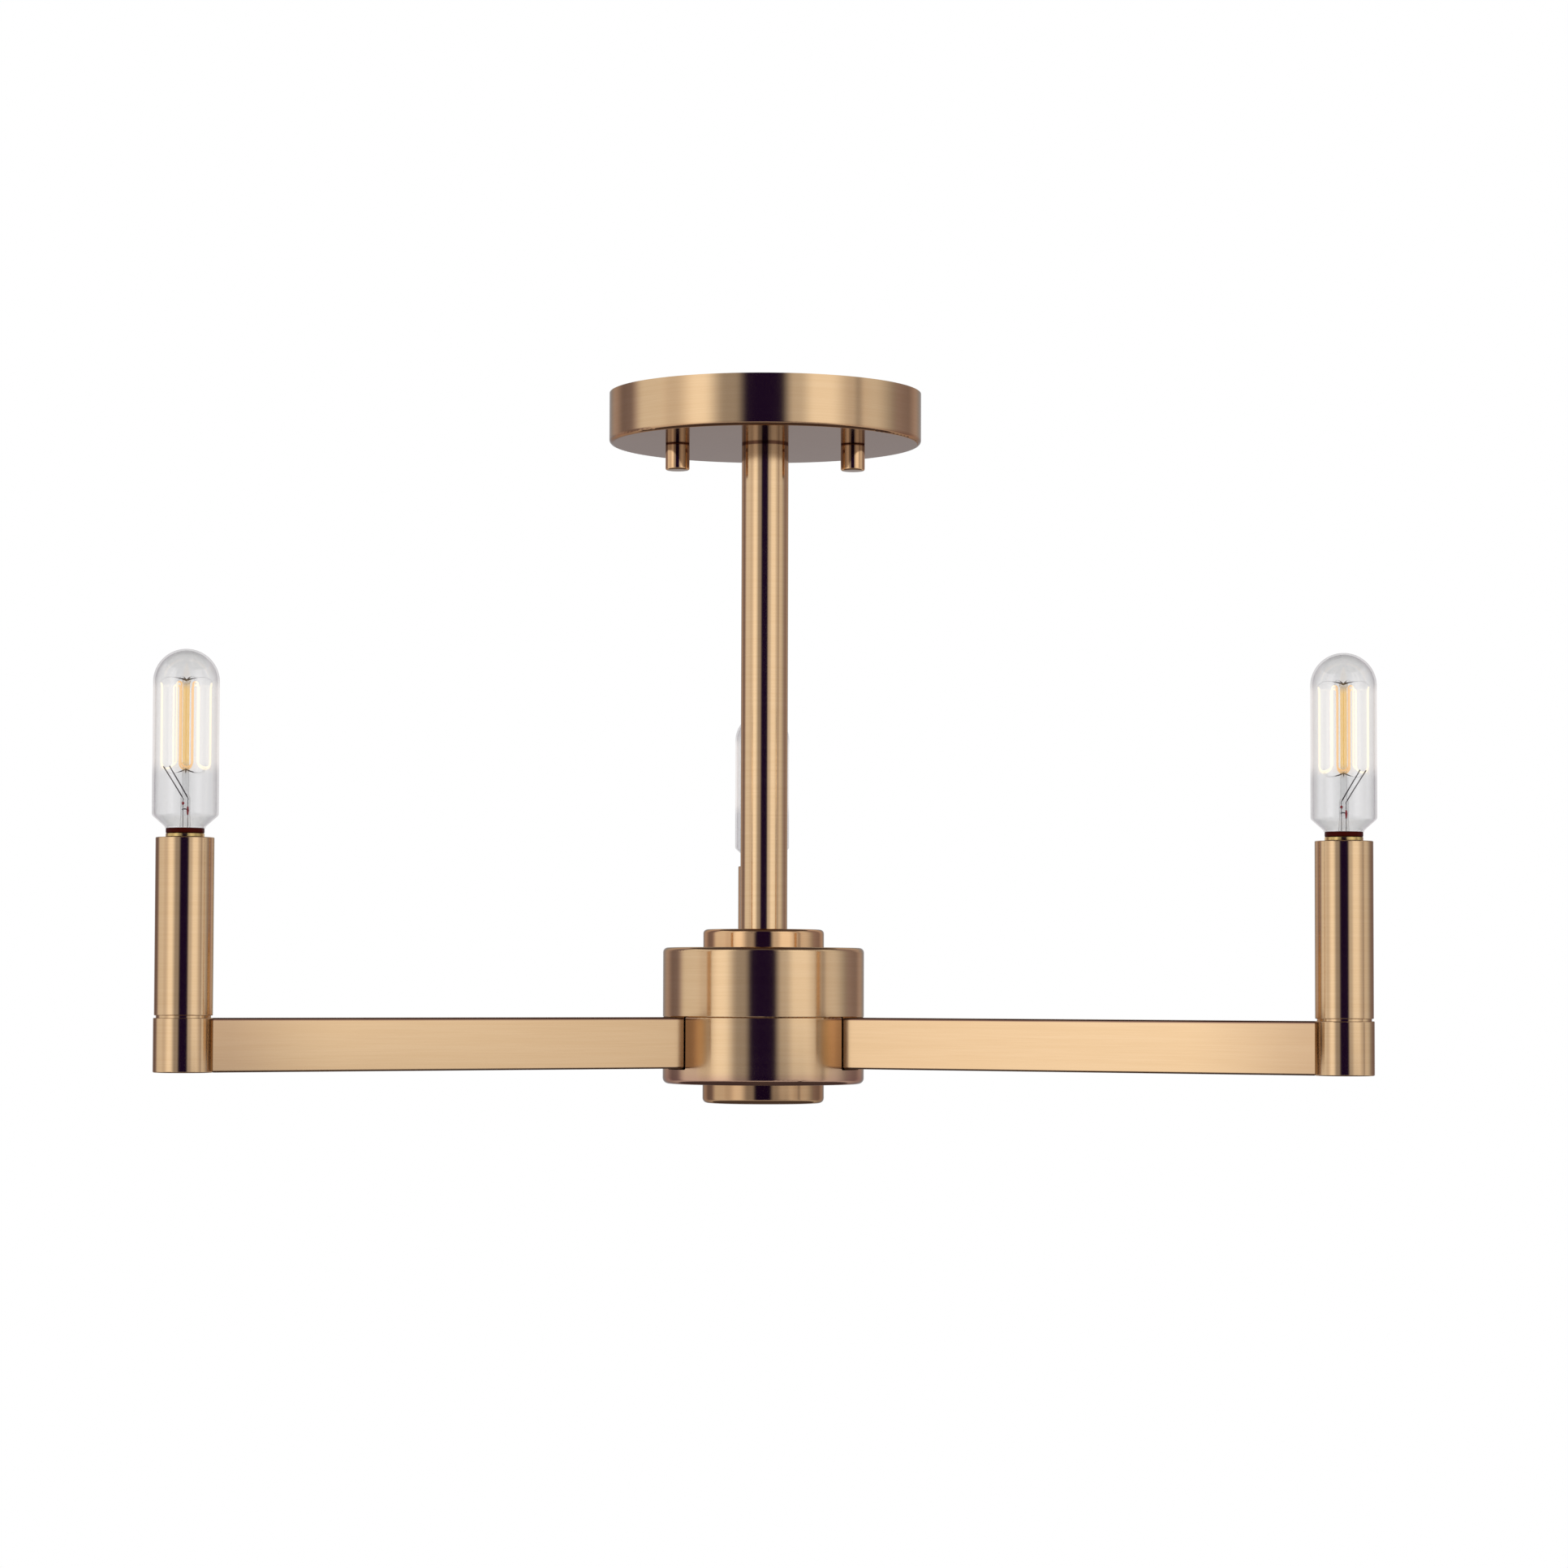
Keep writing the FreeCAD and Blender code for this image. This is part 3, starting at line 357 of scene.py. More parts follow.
def notch_painted_shade(tree):
    """Painted shade beside the lower body's three notches: across each arm's line it fades between
    two distances, and it lies on the arm's side of the axis only."""
    amount = 0.0
    for turn in ARM_ANGLES.values():
        x, y, z = tree.parts(turn=turn)
        beside = (1.0 - y.maths("ABSOLUTE").smooth(11.5 * MM, 17.0 * MM)) * (x > 0.0)
        amount = beside.maths("MAXIMUM", amount)
    return amount


def plated(name, colour, roughness, relief=0.02 * MM, scale=900.0):
    """Plated metal with a fine crystal grain and faint stains."""
    made, tree = material(name)
    place = tree.place()
    crystals, stains = tree.noise(place, scale, 3.0), tree.noise(place, 60.0, 4.0)
    shade = (stains * 0.6 + crystals * 0.4).smooth(0.35, 0.65)
    tree.principled(Base_Color=tree.mix(shade, 0.72 * np.array(colour), colour), Metallic=1.0,
                    Roughness=roughness * (0.75 + crystals * 0.3 + stains * 0.25),
                    Normal=tree.bump(crystals, relief))
    return made


def moulded(name, colour, roughness, coat=0.0, shine=0.5):
    """Moulded plastic with a fine spark-eroded texture and slight colour drift."""
    made, tree = material(name)
    place = tree.place()
    pits, drift = tree.noise(place, 1400.0), tree.noise(place, 45.0, 3.0)
    tree.principled(Base_Color=tree.mix(drift.smooth(0.3, 0.7), 0.82 * np.array(colour), colour),
                    Roughness=roughness * (0.85 + pits * 0.3),
                    Normal=tree.bump(pits, 0.03 * MM), Coat_Weight=coat, Specular_IOR_Level=shine)
    return made


def thin_glass(name, colour, core, gain, light):
    """Clear glass without bending of light: each surface stops the core's share of it and
    mirrors part of that, and the rim's share more towards its edges, with faint streaks along
    the tube. Where it takes up the filament's light, it stops more by the gain, and glows."""
    rim = 0.60
    made, tree = material(name)
    x, y, z = tree.parts()
    streaks = tree.noise(tree.vector(x * 700.0, y * 700.0, z * 26.0), 1.0)
    edge = tree.node("LayerWeight", {"Blend": 0.5}, "Facing") ** 4.0
    lit = cage_light(tree)
    alpha = edge * rim + streaks * 0.05 + core + lit * gain
    tree.principled(Base_Color=colour, Metallic=1.0, Roughness=streaks * 0.02 + 0.02,
                    Alpha=alpha.maths("MINIMUM", 1.0), Emission_Strength=1.0,
                    Emission_Color=tree.mix(lit, (0.0, 0.0, 0.0), light))
    return made


def cage_light(tree):
    """Light of the filament: 1 between the cage's two ends, fading out over some millimetres
    at each."""
    low, high = levels("bulb_filament_1")
    z = tree.parts()[2]
    return z.smooth(low - 2.0 * MM, low + 5.0 * MM) \
        * (1.0 - z.smooth(high - 5.0 * MM, high + 1.0 * MM))


def filament_glow(name):
    """Lit coiled wire: its turns show as a fine ripple, and the warmth attribute reddens it."""
    hot = np.array(bpy.context.scene.ceiling_light_finishes.glow)
    made, tree = material(name)
    warmth = tree.node("Attribute", out="Fac", attribute_name="warmth")
    turns = (tree.parts()[2] * 9000.0).maths("SINE") * 0.5 + 0.5
    colour = tree.mix(warmth, hot, (0.82, 0.46, 0.16))
    tree.principled(Base_Color=(0.25, 0.22, 0.18), Metallic=0.6, Roughness=0.5,
                    Emission_Color=tree.mix(turns * 0.2, colour, 0.6 * hot),
                    Emission_Strength=1.2)
    return made


# Surfaces ---

def mesh_object(name, points, corners, finish):
    """Mesh object with one finish, in the scene."""
    mesh = bpy.data.meshes.new(name)
    mesh.from_pydata(points, [], corners)
    mesh.materials.append(finish)
    made = bpy.data.objects.new(name, mesh)
    bpy.context.scene.collection.objects.link(made)
    return made


def piece(name, surface, body, finish, node):
    """Smooth mesh object from a surface, which is vertices in metres and a list of corner
    arrays. It rides on a body and replaces a CAD node."""
    points, faces = surface
    made = mesh_object(name, points.tolist(), [row for block in faces for row in block.tolist()],
                       finish)
    made.data.polygons.foreach_set("use_smooth", np.ones(len(made.data.polygons), bool))
    made.data.update()
    if made.data.validate():
        raise RuntimeError("mesh %s had broken faces" % name)
    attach(made, body)
    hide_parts(node)
    return made


def whole_turn(count):
    """Evenly spread angles all the way round."""
    return 2.0 * np.pi * np.arange(count) / count


def circle(radius, level, count):
    """Points (radius cos t, radius sin t, level) for t all the way round."""
    turn = whole_turn(count)
    return np.stack([radius * np.cos(turn), radius * np.sin(turn), np.full(count, level)], axis=1)


def ring_faces(rows, around, closed=False):
    """Corner arrays of a grid of rows that each close on themselves. Where it is closed, the
    last row also meets the first."""
    row, column = np.meshgrid(np.arange(rows if closed else rows - 1), np.arange(around),
                              indexing="ij")
    here, there = row * around, (row + 1) % rows * around
    after = (column + 1) % around
    return np.stack([here + column, here + after, there + after, there + column],
                    axis=-1).reshape(-1, 4)


def capped(points, around, low_pole, high_pole):
    """Rings of points, closed by a fan of triangles to a pole below and one above."""
    count = len(points)
    ring = np.arange(around)
    after = np.roll(ring, -1)
    last = count - around
    fans = [np.stack([after, ring, np.full(around, count)], axis=-1),
            np.stack([last + ring, last + after, np.full(around, count + 1)], axis=-1)]
    return np.vstack([points, low_pole, high_pole]), [ring_faces(count // around, around), *fans]


def lathe(profile, centre, around=96, wave=None):
    """Surface of revolution: point k of the profile, at radius r and height z, goes to
    (centre x + r cos t, centre y + r sin t, z) for t all the way round. The profile runs so that
    the outside is on its right as it climbs. It starts and ends on the axis, at a pole, or it
    closes on itself like a pipe's wall. The wave adds a change of radius that depends on t and
    z."""
    profile = np.asarray(profile, float)
    poles = profile[0, 0] < 1e-9
    radius, level = np.hsplit(profile[1:-1] if poles else profile, 2)
    turn = whole_turn(around)
    radius = radius + (wave(turn, level) if wave else 0.0 * turn)
    points = np.stack([centre[0] + radius * np.cos(turn), centre[1] + radius * np.sin(turn),
                       np.broadcast_to(level, radius.shape)], axis=-1).reshape(-1, 3)
    if poles:
        return capped(points, around, [*centre, profile[0, 1]], [*centre, profile[-1, 1]])
    return points, [ring_faces(len(profile), around, closed=True)]


def joined(surfaces):
    """Several surfaces as one set of points and faces."""
    faces, first = [], 0
    for points, blocks in surfaces:
        faces.extend(block + first for block in blocks)
        first += len(points)
    return np.vstack([points for points, blocks in surfaces]), faces


def rounded(corners, steps=5):
    """Outline through corners, each (r, z, radius): a corner with a radius becomes an arc that
    leaves the first side and meets the second at its tangent."""
    corners = np.asarray(corners, float)
    out = [corners[0, :2]]
    for before, here, after in zip(corners, corners[1:], corners[2:]):
        if here[2] <= 0.0:
            out.append(here[:2])
            continue
        inward, onward = ((side[:2] - here[:2]) / np.linalg.norm(side[:2] - here[:2])
                          for side in (before, after))
        half_angle = math.acos(float(np.clip(inward @ onward, -1.0, 1.0))) / 2.0
        sweep = math.pi - 2.0 * half_angle
        reach = here[2] / math.tan(half_angle)
        way = (inward + onward) / np.linalg.norm(inward + onward)
        centre = here[:2] + way * here[2] / math.sin(half_angle)
        start, end = (here[:2] + side * reach - centre for side in (inward, onward))
        part = np.linspace(0.0, 1.0, steps + 1)[:, None]
        out.extend(centre + (np.sin((1.0 - part) * sweep) * start + np.sin(part * sweep) * end)
                   / math.sin(sweep))
    out.append(corners[-1, :2])
    return np.array(out)


def turned(corners, centre, around=96):
    """Solid of revolution through rounded corners (r, z, radius), with level ends that reach
    the axis."""
    first, last = ((0.0, corners[end][1], 0.0) for end in (0, -1))
    return lathe(rounded([first, *corners, last]), centre, around)


def tube_along(path, radius, side, around=10):
    """Round wire along a path. Each ring lies square to the path's direction: the side vector,
    less its share along the path, is the ring's first axis, and the cross product its second."""
    ahead = np.gradient(path, axis=0)
    ahead /= np.linalg.norm(ahead, axis=1, keepdims=True)
    first = side - ahead * (side * ahead).sum(axis=1, keepdims=True)
    first /= np.linalg.norm(first, axis=1, keepdims=True)
    second = np.cross(ahead, first)
    turn = whole_turn(around)[None, :, None]
    radii = np.broadcast_to(radius, len(path))[:, None, None]
    points = path[:, None, :] + radii * (first[:, None, :] * np.cos(turn)
                                         + second[:, None, :] * np.sin(turn))
    return capped(points.reshape(-1, 3), around, path[:1], path[-1:])


def thread(outer, depth, pitch, low, high, centre, bore=0.0, around=40, per_turn=10,
           rolled=False):
    """Threaded rod, or pipe where there is a bore: the radius is the core's plus the depth times
    a ridge wave of (height / pitch - turn), so that the ridge climbs one pitch a turn, and it
    runs out to the core at both ends. A cut ridge is a triangle with its tip and foot cut off;
    a rolled one is half of one plus a sine."""
    heights = np.linspace(low, high, max(int((high - low) / pitch * per_turn), 8) + 1)
    fade = pitch * (0.5 if rolled else 1.0)

    def wave(turn, level):
        phase = level / pitch - turn / (2.0 * np.pi)
        if rolled:
            ridge = 0.5 + 0.5 * np.sin(2.0 * np.pi * phase)
        else:
            ridge = np.abs(2.0 * (phase - np.floor(phase)) - 1.0)
            ridge = np.clip(ridge * 1.5 - 0.25, 0.0, 1.0)
        return depth * ridge * np.clip(np.minimum(level - low, high - level) / fade, 0.0, 1.0)

    side = np.stack([np.full(len(heights), outer - depth), heights], axis=1)
    outline = [*side, [bore, high], [bore, low]] if bore else [[0.0, low], *side, [0.0, high]]
    return lathe(outline, centre, around, wave)


def smoothed(knots, count):
    """Smooth curve through knots: each stretch is a cubic whose slope at a knot is half the
    step between its neighbours."""
    slopes = np.gradient(knots, axis=0)
    place = np.linspace(0.0, len(knots) - 1.0, count)
    index = np.clip(place.astype(int), 0, len(knots) - 2)
    t = (place - index)[:, None]
    a, b = knots[index], knots[index + 1]
    da, db = slopes[index], slopes[index + 1]
    return ((2 * t ** 3 - 3 * t ** 2 + 1) * a + (t ** 3 - 2 * t ** 2 + t) * da
            + (3 * t ** 2 - 2 * t ** 3) * b + (t ** 3 - t ** 2) * db)


# Operators: CAD nodes' finishes ---

def give(finish, *names):
    """Put one finish on CAD nodes."""
    for name in names:
        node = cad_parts[name]
        node.data.materials.clear()
        node.data.materials.append(finish)


class CEILINGLIGHT_OT_brass(bpy.types.Operator):
    """Brushed satin brass on the canopy, stem, hub, arms, cups and sleeves"""

    bl_idname = "ceiling_light.brass"
    bl_label = "Brass"

    def execute(self, context):
        # Shares of the brass colour that paint shade: at the stem's and knobs' tops where they
        # meet the canopy, on the canopy's lower rim, on the arms, and on the cover beside its
        # notches and towards its foot.
        joint_shadow, edge, arm_edge_shade = (0.34, 0.25, 0.26), (0.70, 0.56, 0.50), (0.30, 0.24, 0.30)
        notch_shade, foot_shade = (0.84, 0.80, 0.88), (0.76, 0.66, 0.80)
        centred = turned_grain()
        # Stem: a painted contact shadow at its top, where it meets the canopy, and a lift that
        # paints it brighter.
        top = levels("stem")[1]
        line = height_painted_shade(top - 1.0 * MM, top - 0.5 * MM)
        give(brass("stem", centred, painted_shade=((line, joint_shadow),), lift=1.05), "stem")
        give(brass("hub", centred), "hub_upper_body")
        foot = levels("hub_lower_body")[0]
        # Painted shade beside the notches and towards the cover's foot.
        painted_shade = ((notch_painted_shade, notch_shade), (height_painted_shade(foot + 6.0 * MM, foot), foot_shade))
        give(brass("cover", centred, painted_shade=painted_shade), "hub_lower_body")
        give(brass("ring", centred, 0.75, True), "hub_top_ring")
        # The cap's lift below 1 is painted shade: a darker copy of the polished brass.
        give(brass("cap", centred, 0.75, True, lift=0.75), "bottom_cap")
        foot = levels("canopy")[0]
        # Painted dark reflection along the canopy's rounded lower rim.
        line = height_painted_shade(foot + 2.2 * MM, foot + 0.3 * MM)
        give(brass("canopy", centred, 0.95, painted_shade=((line, edge),)), "canopy")
        for side in ("left", "right"):
            knob = "knob_nut_" + side
            top = levels(knob)[1]
            # Painted contact shadow at each knob's top, where it meets the canopy.
            line = height_painted_shade(top - 0.8 * MM, top - 0.4 * MM)
            give(brass("knob_" + side, turned_grain(middle(knob)), 0.6, True, ((line, joint_shadow),)),
                 knob)
        for arm in ARM_ANGLES:
            give(brass("end_%d" % arm, turned_grain(arm_end(arm)), 0.9),
                 "cup_%d" % arm, "sleeve_%d" % arm)
            name = "arm_%d" % arm
            # Arms: painted shade at their cup ends, painted dark reflections on their edges, and a
            # lift that paints them brighter.
            give(brass(name, straight_grain(arm), 1.15, painted_shade=((arm_painted_shade(arm), arm_edge_shade),),
                       lift=1.09), name)
        return {"FINISHED"}


class CEILINGLIGHT_OT_fixings(bpy.types.Operator):
    """Plated steel, copper and plastics on the parts inside the canopy, hub and cups"""

    bl_idname = "ceiling_light.fixings"
    bl_label = "Fixings and wiring"

    def execute(self, context):
        look = context.scene.ceiling_light_finishes
        give(plated("zinc_steel", look.zinc, 0.34), "box_crossbar", "canopy_crossbar",
             "crossbar_rivet", "stud_nuts", "pipe_nuts", "stem_bushes", "hub_posts", "arm_plate",
             "plate_screws", "centre_nuts", "arm_screws", "arm_nut_bars", "socket_brackets",
             "canopy_studs", "canopy_pipe", "hub_pipe", "centre_stud", "socket_pipes")
        give(plated("green_steel", look.earth, 0.30), "earth_screw")
        give(plated("bare_copper", (0.72, 0.34, 0.20), 0.36), "earth_lead")
        give(moulded("lead_insulation", look.lead, 0.38), "stem_leads", "arm_leads")
        give(moulded("connector_plastic", look.connector, 0.36), "wire_nuts")
        give(moulded("block_plastic", look.block, 0.48), "terminal_block")
        for finish, name in ((moulded("phenolic", look.phenolic, 0.26, coat=0.2), "socket_body"),
                             (plated("shell_brass", (0.78, 0.60, 0.30), 0.22), "socket_shell")):
            give(finish, *("%s_%d" % (name, arm) for arm in ARM_ANGLES))
        return {"FINISHED"}


# Operators: lamps ---

# Distance in metres in front of the light of the place that the filaments are turned to.
VIEWER = 1.75
# Directions of the filament's legs round a lamp's axis, in degrees from that place.
LEGS = (-22.0, -11.5, 15.0, 27.0, 76.0, 104.0, 150.0, 166.0, 194.0, 210.0, 256.0, 284.0)


def lamp_piece(name, arm, surface, finish, kind):
    """Piece of a lamp, in place of its CAD node of that kind."""
    return piece("%s_%d" % (name, arm), surface, "bulb_%d" % arm, finish,
                 "bulb_%s_%d" % (kind, arm))


def arc_points(centre, radius, start, end, steps):
    """Points of an arc in (r, z), from one angle to another."""
    turn = np.linspace(start, end, steps)
    return np.stack([centre[0] + radius * np.cos(turn), centre[1] + radius * np.sin(turn)], axis=1)


def glass_outline(radius, neck, foot, cone, top):
    """Half outline of the envelope: a rounded foot and shoulder, a straight side and a round
    dome whose radius is the side's."""
    shoulder = top - radius
    lower = rounded([(neck, foot, 0.0), (neck, foot + 0.5 * MM, 0.4 * MM),
                     (radius, foot + cone, 1.6 * MM), (radius, shoulder, 0.0)], 8)
    side = np.stack([np.full(7, radius), np.linspace(lower[-2][1], shoulder, 9)[1:-1]], axis=1)
    dome = arc_points((0.0, shoulder), radius, 0.0, np.pi / 2.0, 21)
    dome[-1, 0] = 0.0
    return np.vstack([lower[:-1], side, dome])


class CEILINGLIGHT_OT_lamp_glass(bpy.types.Operator):
    """Thin blown envelopes with rounded shoulders"""

    bl_idname = "ceiling_light.lamp_glass"
    bl_label = "Lamp glass"

    def execute(self, context):
        sizes = context.scene.ceiling_light_lamps
        clear = thin_glass("lamp_glass", context.scene.ceiling_light_finishes.glass, 0.093, 0.0,
                           (0.26, 0.235, 0.20))
        for arm in ARM_ANGLES:
            node = "bulb_glass_%d" % arm
            radius, (low, high) = half(node), levels(node)
            outside, inside = (glass_outline(radius - wall, sizes.neck - wall, low + rise,
                                             sizes.cone, high - wall)
                               for wall, rise in ((0.0, 0.0), (sizes.wall, 0.02 * MM)))
            surface = lathe(np.vstack([inside[::-1], outside]), middle(node))
            lamp_piece("lamp_envelope", arm, surface, clear, "glass")
        return {"FINISHED"}


class CEILINGLIGHT_OT_lamp_base(bpy.types.Operator):
    """Screw bases with a rolled thread, a brown collar, a black insulator and a solder tip"""

    bl_idname = "ceiling_light.lamp_base"
    bl_label = "Lamp bases"

    def execute(self, context):
        sizes = context.scene.ceiling_light_lamps
        brass = plated("lamp_brass", (0.83, 0.60, 0.24), 0.16, 0.04 * MM, 500.0)
        cement = moulded("lamp_collar", context.scene.ceiling_light_finishes.cement, 0.4,
                         shine=0.05)
        black = moulded("lamp_insulator", (0.02, 0.018, 0.018), 0.12)
        solder = plated("lamp_solder", (0.62, 0.62, 0.60), 0.30)
        collar, crest, tip = 7.25 * MM, 5.8 * MM, 1.5 * MM
        for arm in ARM_ANGLES:
            node = "bulb_base_%d" % arm
            skirt, centre, (low, top) = half(node), middle(node), levels(node)
            collar_foot = top - sizes.collar
            skirt_foot = levels("socket_body_%d" % arm)[1] + 0.3 * MM
            thread_foot = skirt_foot - 13.0 * MM
            surface = turned([(collar, collar_foot, 0.15 * MM), (collar, top, 0.3 * MM)], centre)
            lamp_piece("lamp_collar", arm, surface, cement, "base")
            bead = [(skirt - inset * MM, skirt_foot + rise * MM, bend * MM)
                    for inset, rise, bend in ((0.5, 0.0, 0.2), (0.0, 0.7, 0.3), (0.0, 1.5, 0.3),
                                              (0.6, 2.2, 0.4), (0.0, 2.9, 0.3))]
            bead += [(skirt, collar_foot - 0.3 * MM, 0.2 * MM),
                     (skirt - 0.4 * MM, collar_foot, 0.0)]
            screw = thread(crest, sizes.thread_depth, sizes.pitch, thread_foot, skirt_foot,
                           centre, around=64, per_turn=16, rolled=True)
            lamp_piece("lamp_screw_base", arm, joined([turned(bead, centre), screw]),
                       brass, "base")
            surface = turned([(2.6 * MM, low + 1.0 * MM, 0.3 * MM),
                              (5.1 * MM, thread_foot, 0.3 * MM)], centre, 64)
            lamp_piece("lamp_insulator", arm, surface, black, "base")
            shoulder = arc_points((0.9 * MM, low + tip), tip, -np.pi / 2.0, 0.0, 9)
            drop = np.vstack([[0.0, low], shoulder, [0.9 * MM + tip, low + 1.6 * MM],
                              [0.0, low + 1.6 * MM]])
            lamp_piece("lamp_contact", arm, lathe(drop, centre, 48), solder, "base")
        return {"FINISHED"}


def lamp_side(arm):
    """The side on which a lamp's lead-in wires rise, seen from the front: 1 right, -1 left."""
    return 1.0 if math.cos(math.radians(ARM_ANGLES[arm])) > 0.1 else -1.0


def lamp_front(arm):
    """Direction from a lamp to the place in front of the light."""
    x, y = arm_end(arm)
    return math.atan2(-VIEWER - y, -x)


def leg_angle(arm, leg):
    """Direction of a filament leg about its lamp's axis. The legs stand in pairs, closer
    together at the front and back than at the sides."""
    return lamp_front(arm) - lamp_side(arm) * math.radians(LEGS[leg])


def compass(bearing):
    """Level unit vectors outwards at an angle and square to it, one row per angle."""
    x, y, nought = np.cos(bearing), np.sin(bearing), np.zeros(np.shape(bearing))
    return np.stack([x, y, nought], axis=-1), np.stack([-y, x, nought], axis=-1)


class CEILINGLIGHT_OT_lamp_mount(bpy.types.Operator):
    """Glass tube and rod, lead-in wires, seal beads and the hooks that hold the filament"""

    bl_idname = "ceiling_light.lamp_mount"
    bl_label = "Lamp mounts"

    def execute(self, context):
        sizes = context.scene.ceiling_light_lamps
        clear = thin_glass("mount_glass", (0.34, 0.33, 0.34), 0.05, 0.58, (0.74, 0.42, 0.025))
        wire = plated("lead_in_wire", (0.20, 0.19, 0.19), 0.38)
        seal = moulded("seal_bead", (0.42, 0.03, 0.03), 0.15)
        tube, pinch, rod, button = (sizes.stem_tube, sizes.stem_tube * 0.86, sizes.rod,
                                    sizes.rod * 1.3)
        for arm in ARM_ANGLES:
            foot, top = levels("bulb_mount_%d" % arm)
            top -= sizes.cage_head
            tube_top = foot + 12.5 * MM
            axis = np.array([*arm_end(arm), 0.0])
            mount = [(tube, foot, 0.0), (pinch, foot + 5.0 * MM, 2.0 * MM),
                     (pinch, tube_top - 1.2 * MM, 0.4 * MM), (rod, tube_top, 0.4 * MM),
                     (rod, top - 1.8 * MM, 0.3 * MM), (button, top - 1.3 * MM, 0.3 * MM),
                     (button, top, 0.6 * MM)]
            wires = self.lead_ins(arm, axis, foot, tube_top, sizes) \
                + self.hooks(arm, axis, foot, top, sizes)
            for name, surface, finish in (("mount_glass", turned(mount, arm_end(arm), 48), clear),
                                          ("mount_wires", joined(wires), wire),
                                          ("mount_seals", joined(self.seals(axis, foot)), seal)):
                lamp_piece(name, arm, surface, finish, "mount")
        return {"FINISHED"}

    def lead_ins(self, arm, axis, foot, tube_top, sizes):
        """Two wires from the foot up inside the tube, then out to the filament's ends, and the
        wire that ties them."""
        front = (leg_angle(arm, 0) + leg_angle(arm, 11) + 2.0 * math.pi * lamp_side(arm)) / 2.0
        made = []
        for side in (1.0, -1.0):
            along, across = compass(front + side * math.radians(11.0))
            end = axis + (sizes.cage - sizes.filament) * along \
                + UP * (foot + 21.6 * MM + sizes.cage_foot)
            start = axis + np.array([side * 0.9 * MM, 0.0, 0.0])
            path = smoothed(np.array([start + UP * (foot + 0.3 * MM),
                                      start + UP * (foot + 5.0 * MM),
                                      start + UP * (tube_top - 2.2 * MM),
                                      start + along * 0.5 * MM + UP * (tube_top - 0.6 * MM),
                                      end - along * 0.5 * MM - UP * 0.6 * MM, end]), 60)
            outside = np.clip((path[:, 2] - tube_top + 1.2 * MM) / (1.0 * MM), 0.0, 1.0)
            made.append(tube_along(path, sizes.lead_in * (0.5 + 0.5 * outside), across))
        tie = np.array([[-1.3, 0.0, 0.0], [-0.4, 0.1, 0.25], [0.5, 0.1, 0.1], [1.4, 0.0, -0.3]])
        path = smoothed(axis + tie * MM + UP * (foot + 7.0 * MM), 16)
        return made + [tube_along(path, 0.2 * MM, UP, 8)]

    def hooks(self, arm, axis, foot, top, sizes):
        """Fine support wires from the rod to the bends of the filament, thicker at their roots,
        each with a small crook at its end: those above reach up from the rod's top, those below
        curve out from its side."""
        made = []
        radius = np.interp(np.linspace(0.0, 1.0, 24), [0.0, 0.18, 0.28, 1.0],
                           [0.24, 0.20, 0.04, 0.02]) * MM
        out = np.array([0.0, 0.3, 0.7, 0.97, 1.01, 1.0]) * (sizes.cage - sizes.filament)
        shapes = ((top - 0.55 * MM, [0.0, 0.9, 1.3, 0.2, -1.0, -0.8]),
                  (foot + 21.2 * MM + sizes.cage_foot, [0.0, -0.9, -1.4, -0.3, 0.9, 1.5]))
        for leg in range(len(LEGS) - 1):
            way, across = compass((leg_angle(arm, leg) + leg_angle(arm, leg + 1)) / 2.0)
            level, rise = shapes[leg % 2]
            knots = axis + way * out[:, None] + UP * (level + np.array(rise)[:, None] * MM)
            made.append(tube_along(smoothed(knots, 24), radius, across, 6))
        return made

    def seals(self, axis, foot):
        """Red glass seals round the two lead-in wires in the pinch, one short and high, the
        other long and low."""
        made = []
        for side, low, high, radius in ((-0.9, 8.8, 9.9, 0.5), (0.9, 5.0, 8.2, 0.42)):
            path = axis + np.array([side * MM, 0.0, 0.0]) \
                + UP * (foot + np.linspace(low, high, 9) * MM)[:, None]
            taper = 1.0 - 0.4 * np.abs(np.linspace(-1.0, 1.0, 9)) ** 3
            made.append(tube_along(path, radius * MM * taper, [1.0, 0.0, 0.0], 16))
        return made


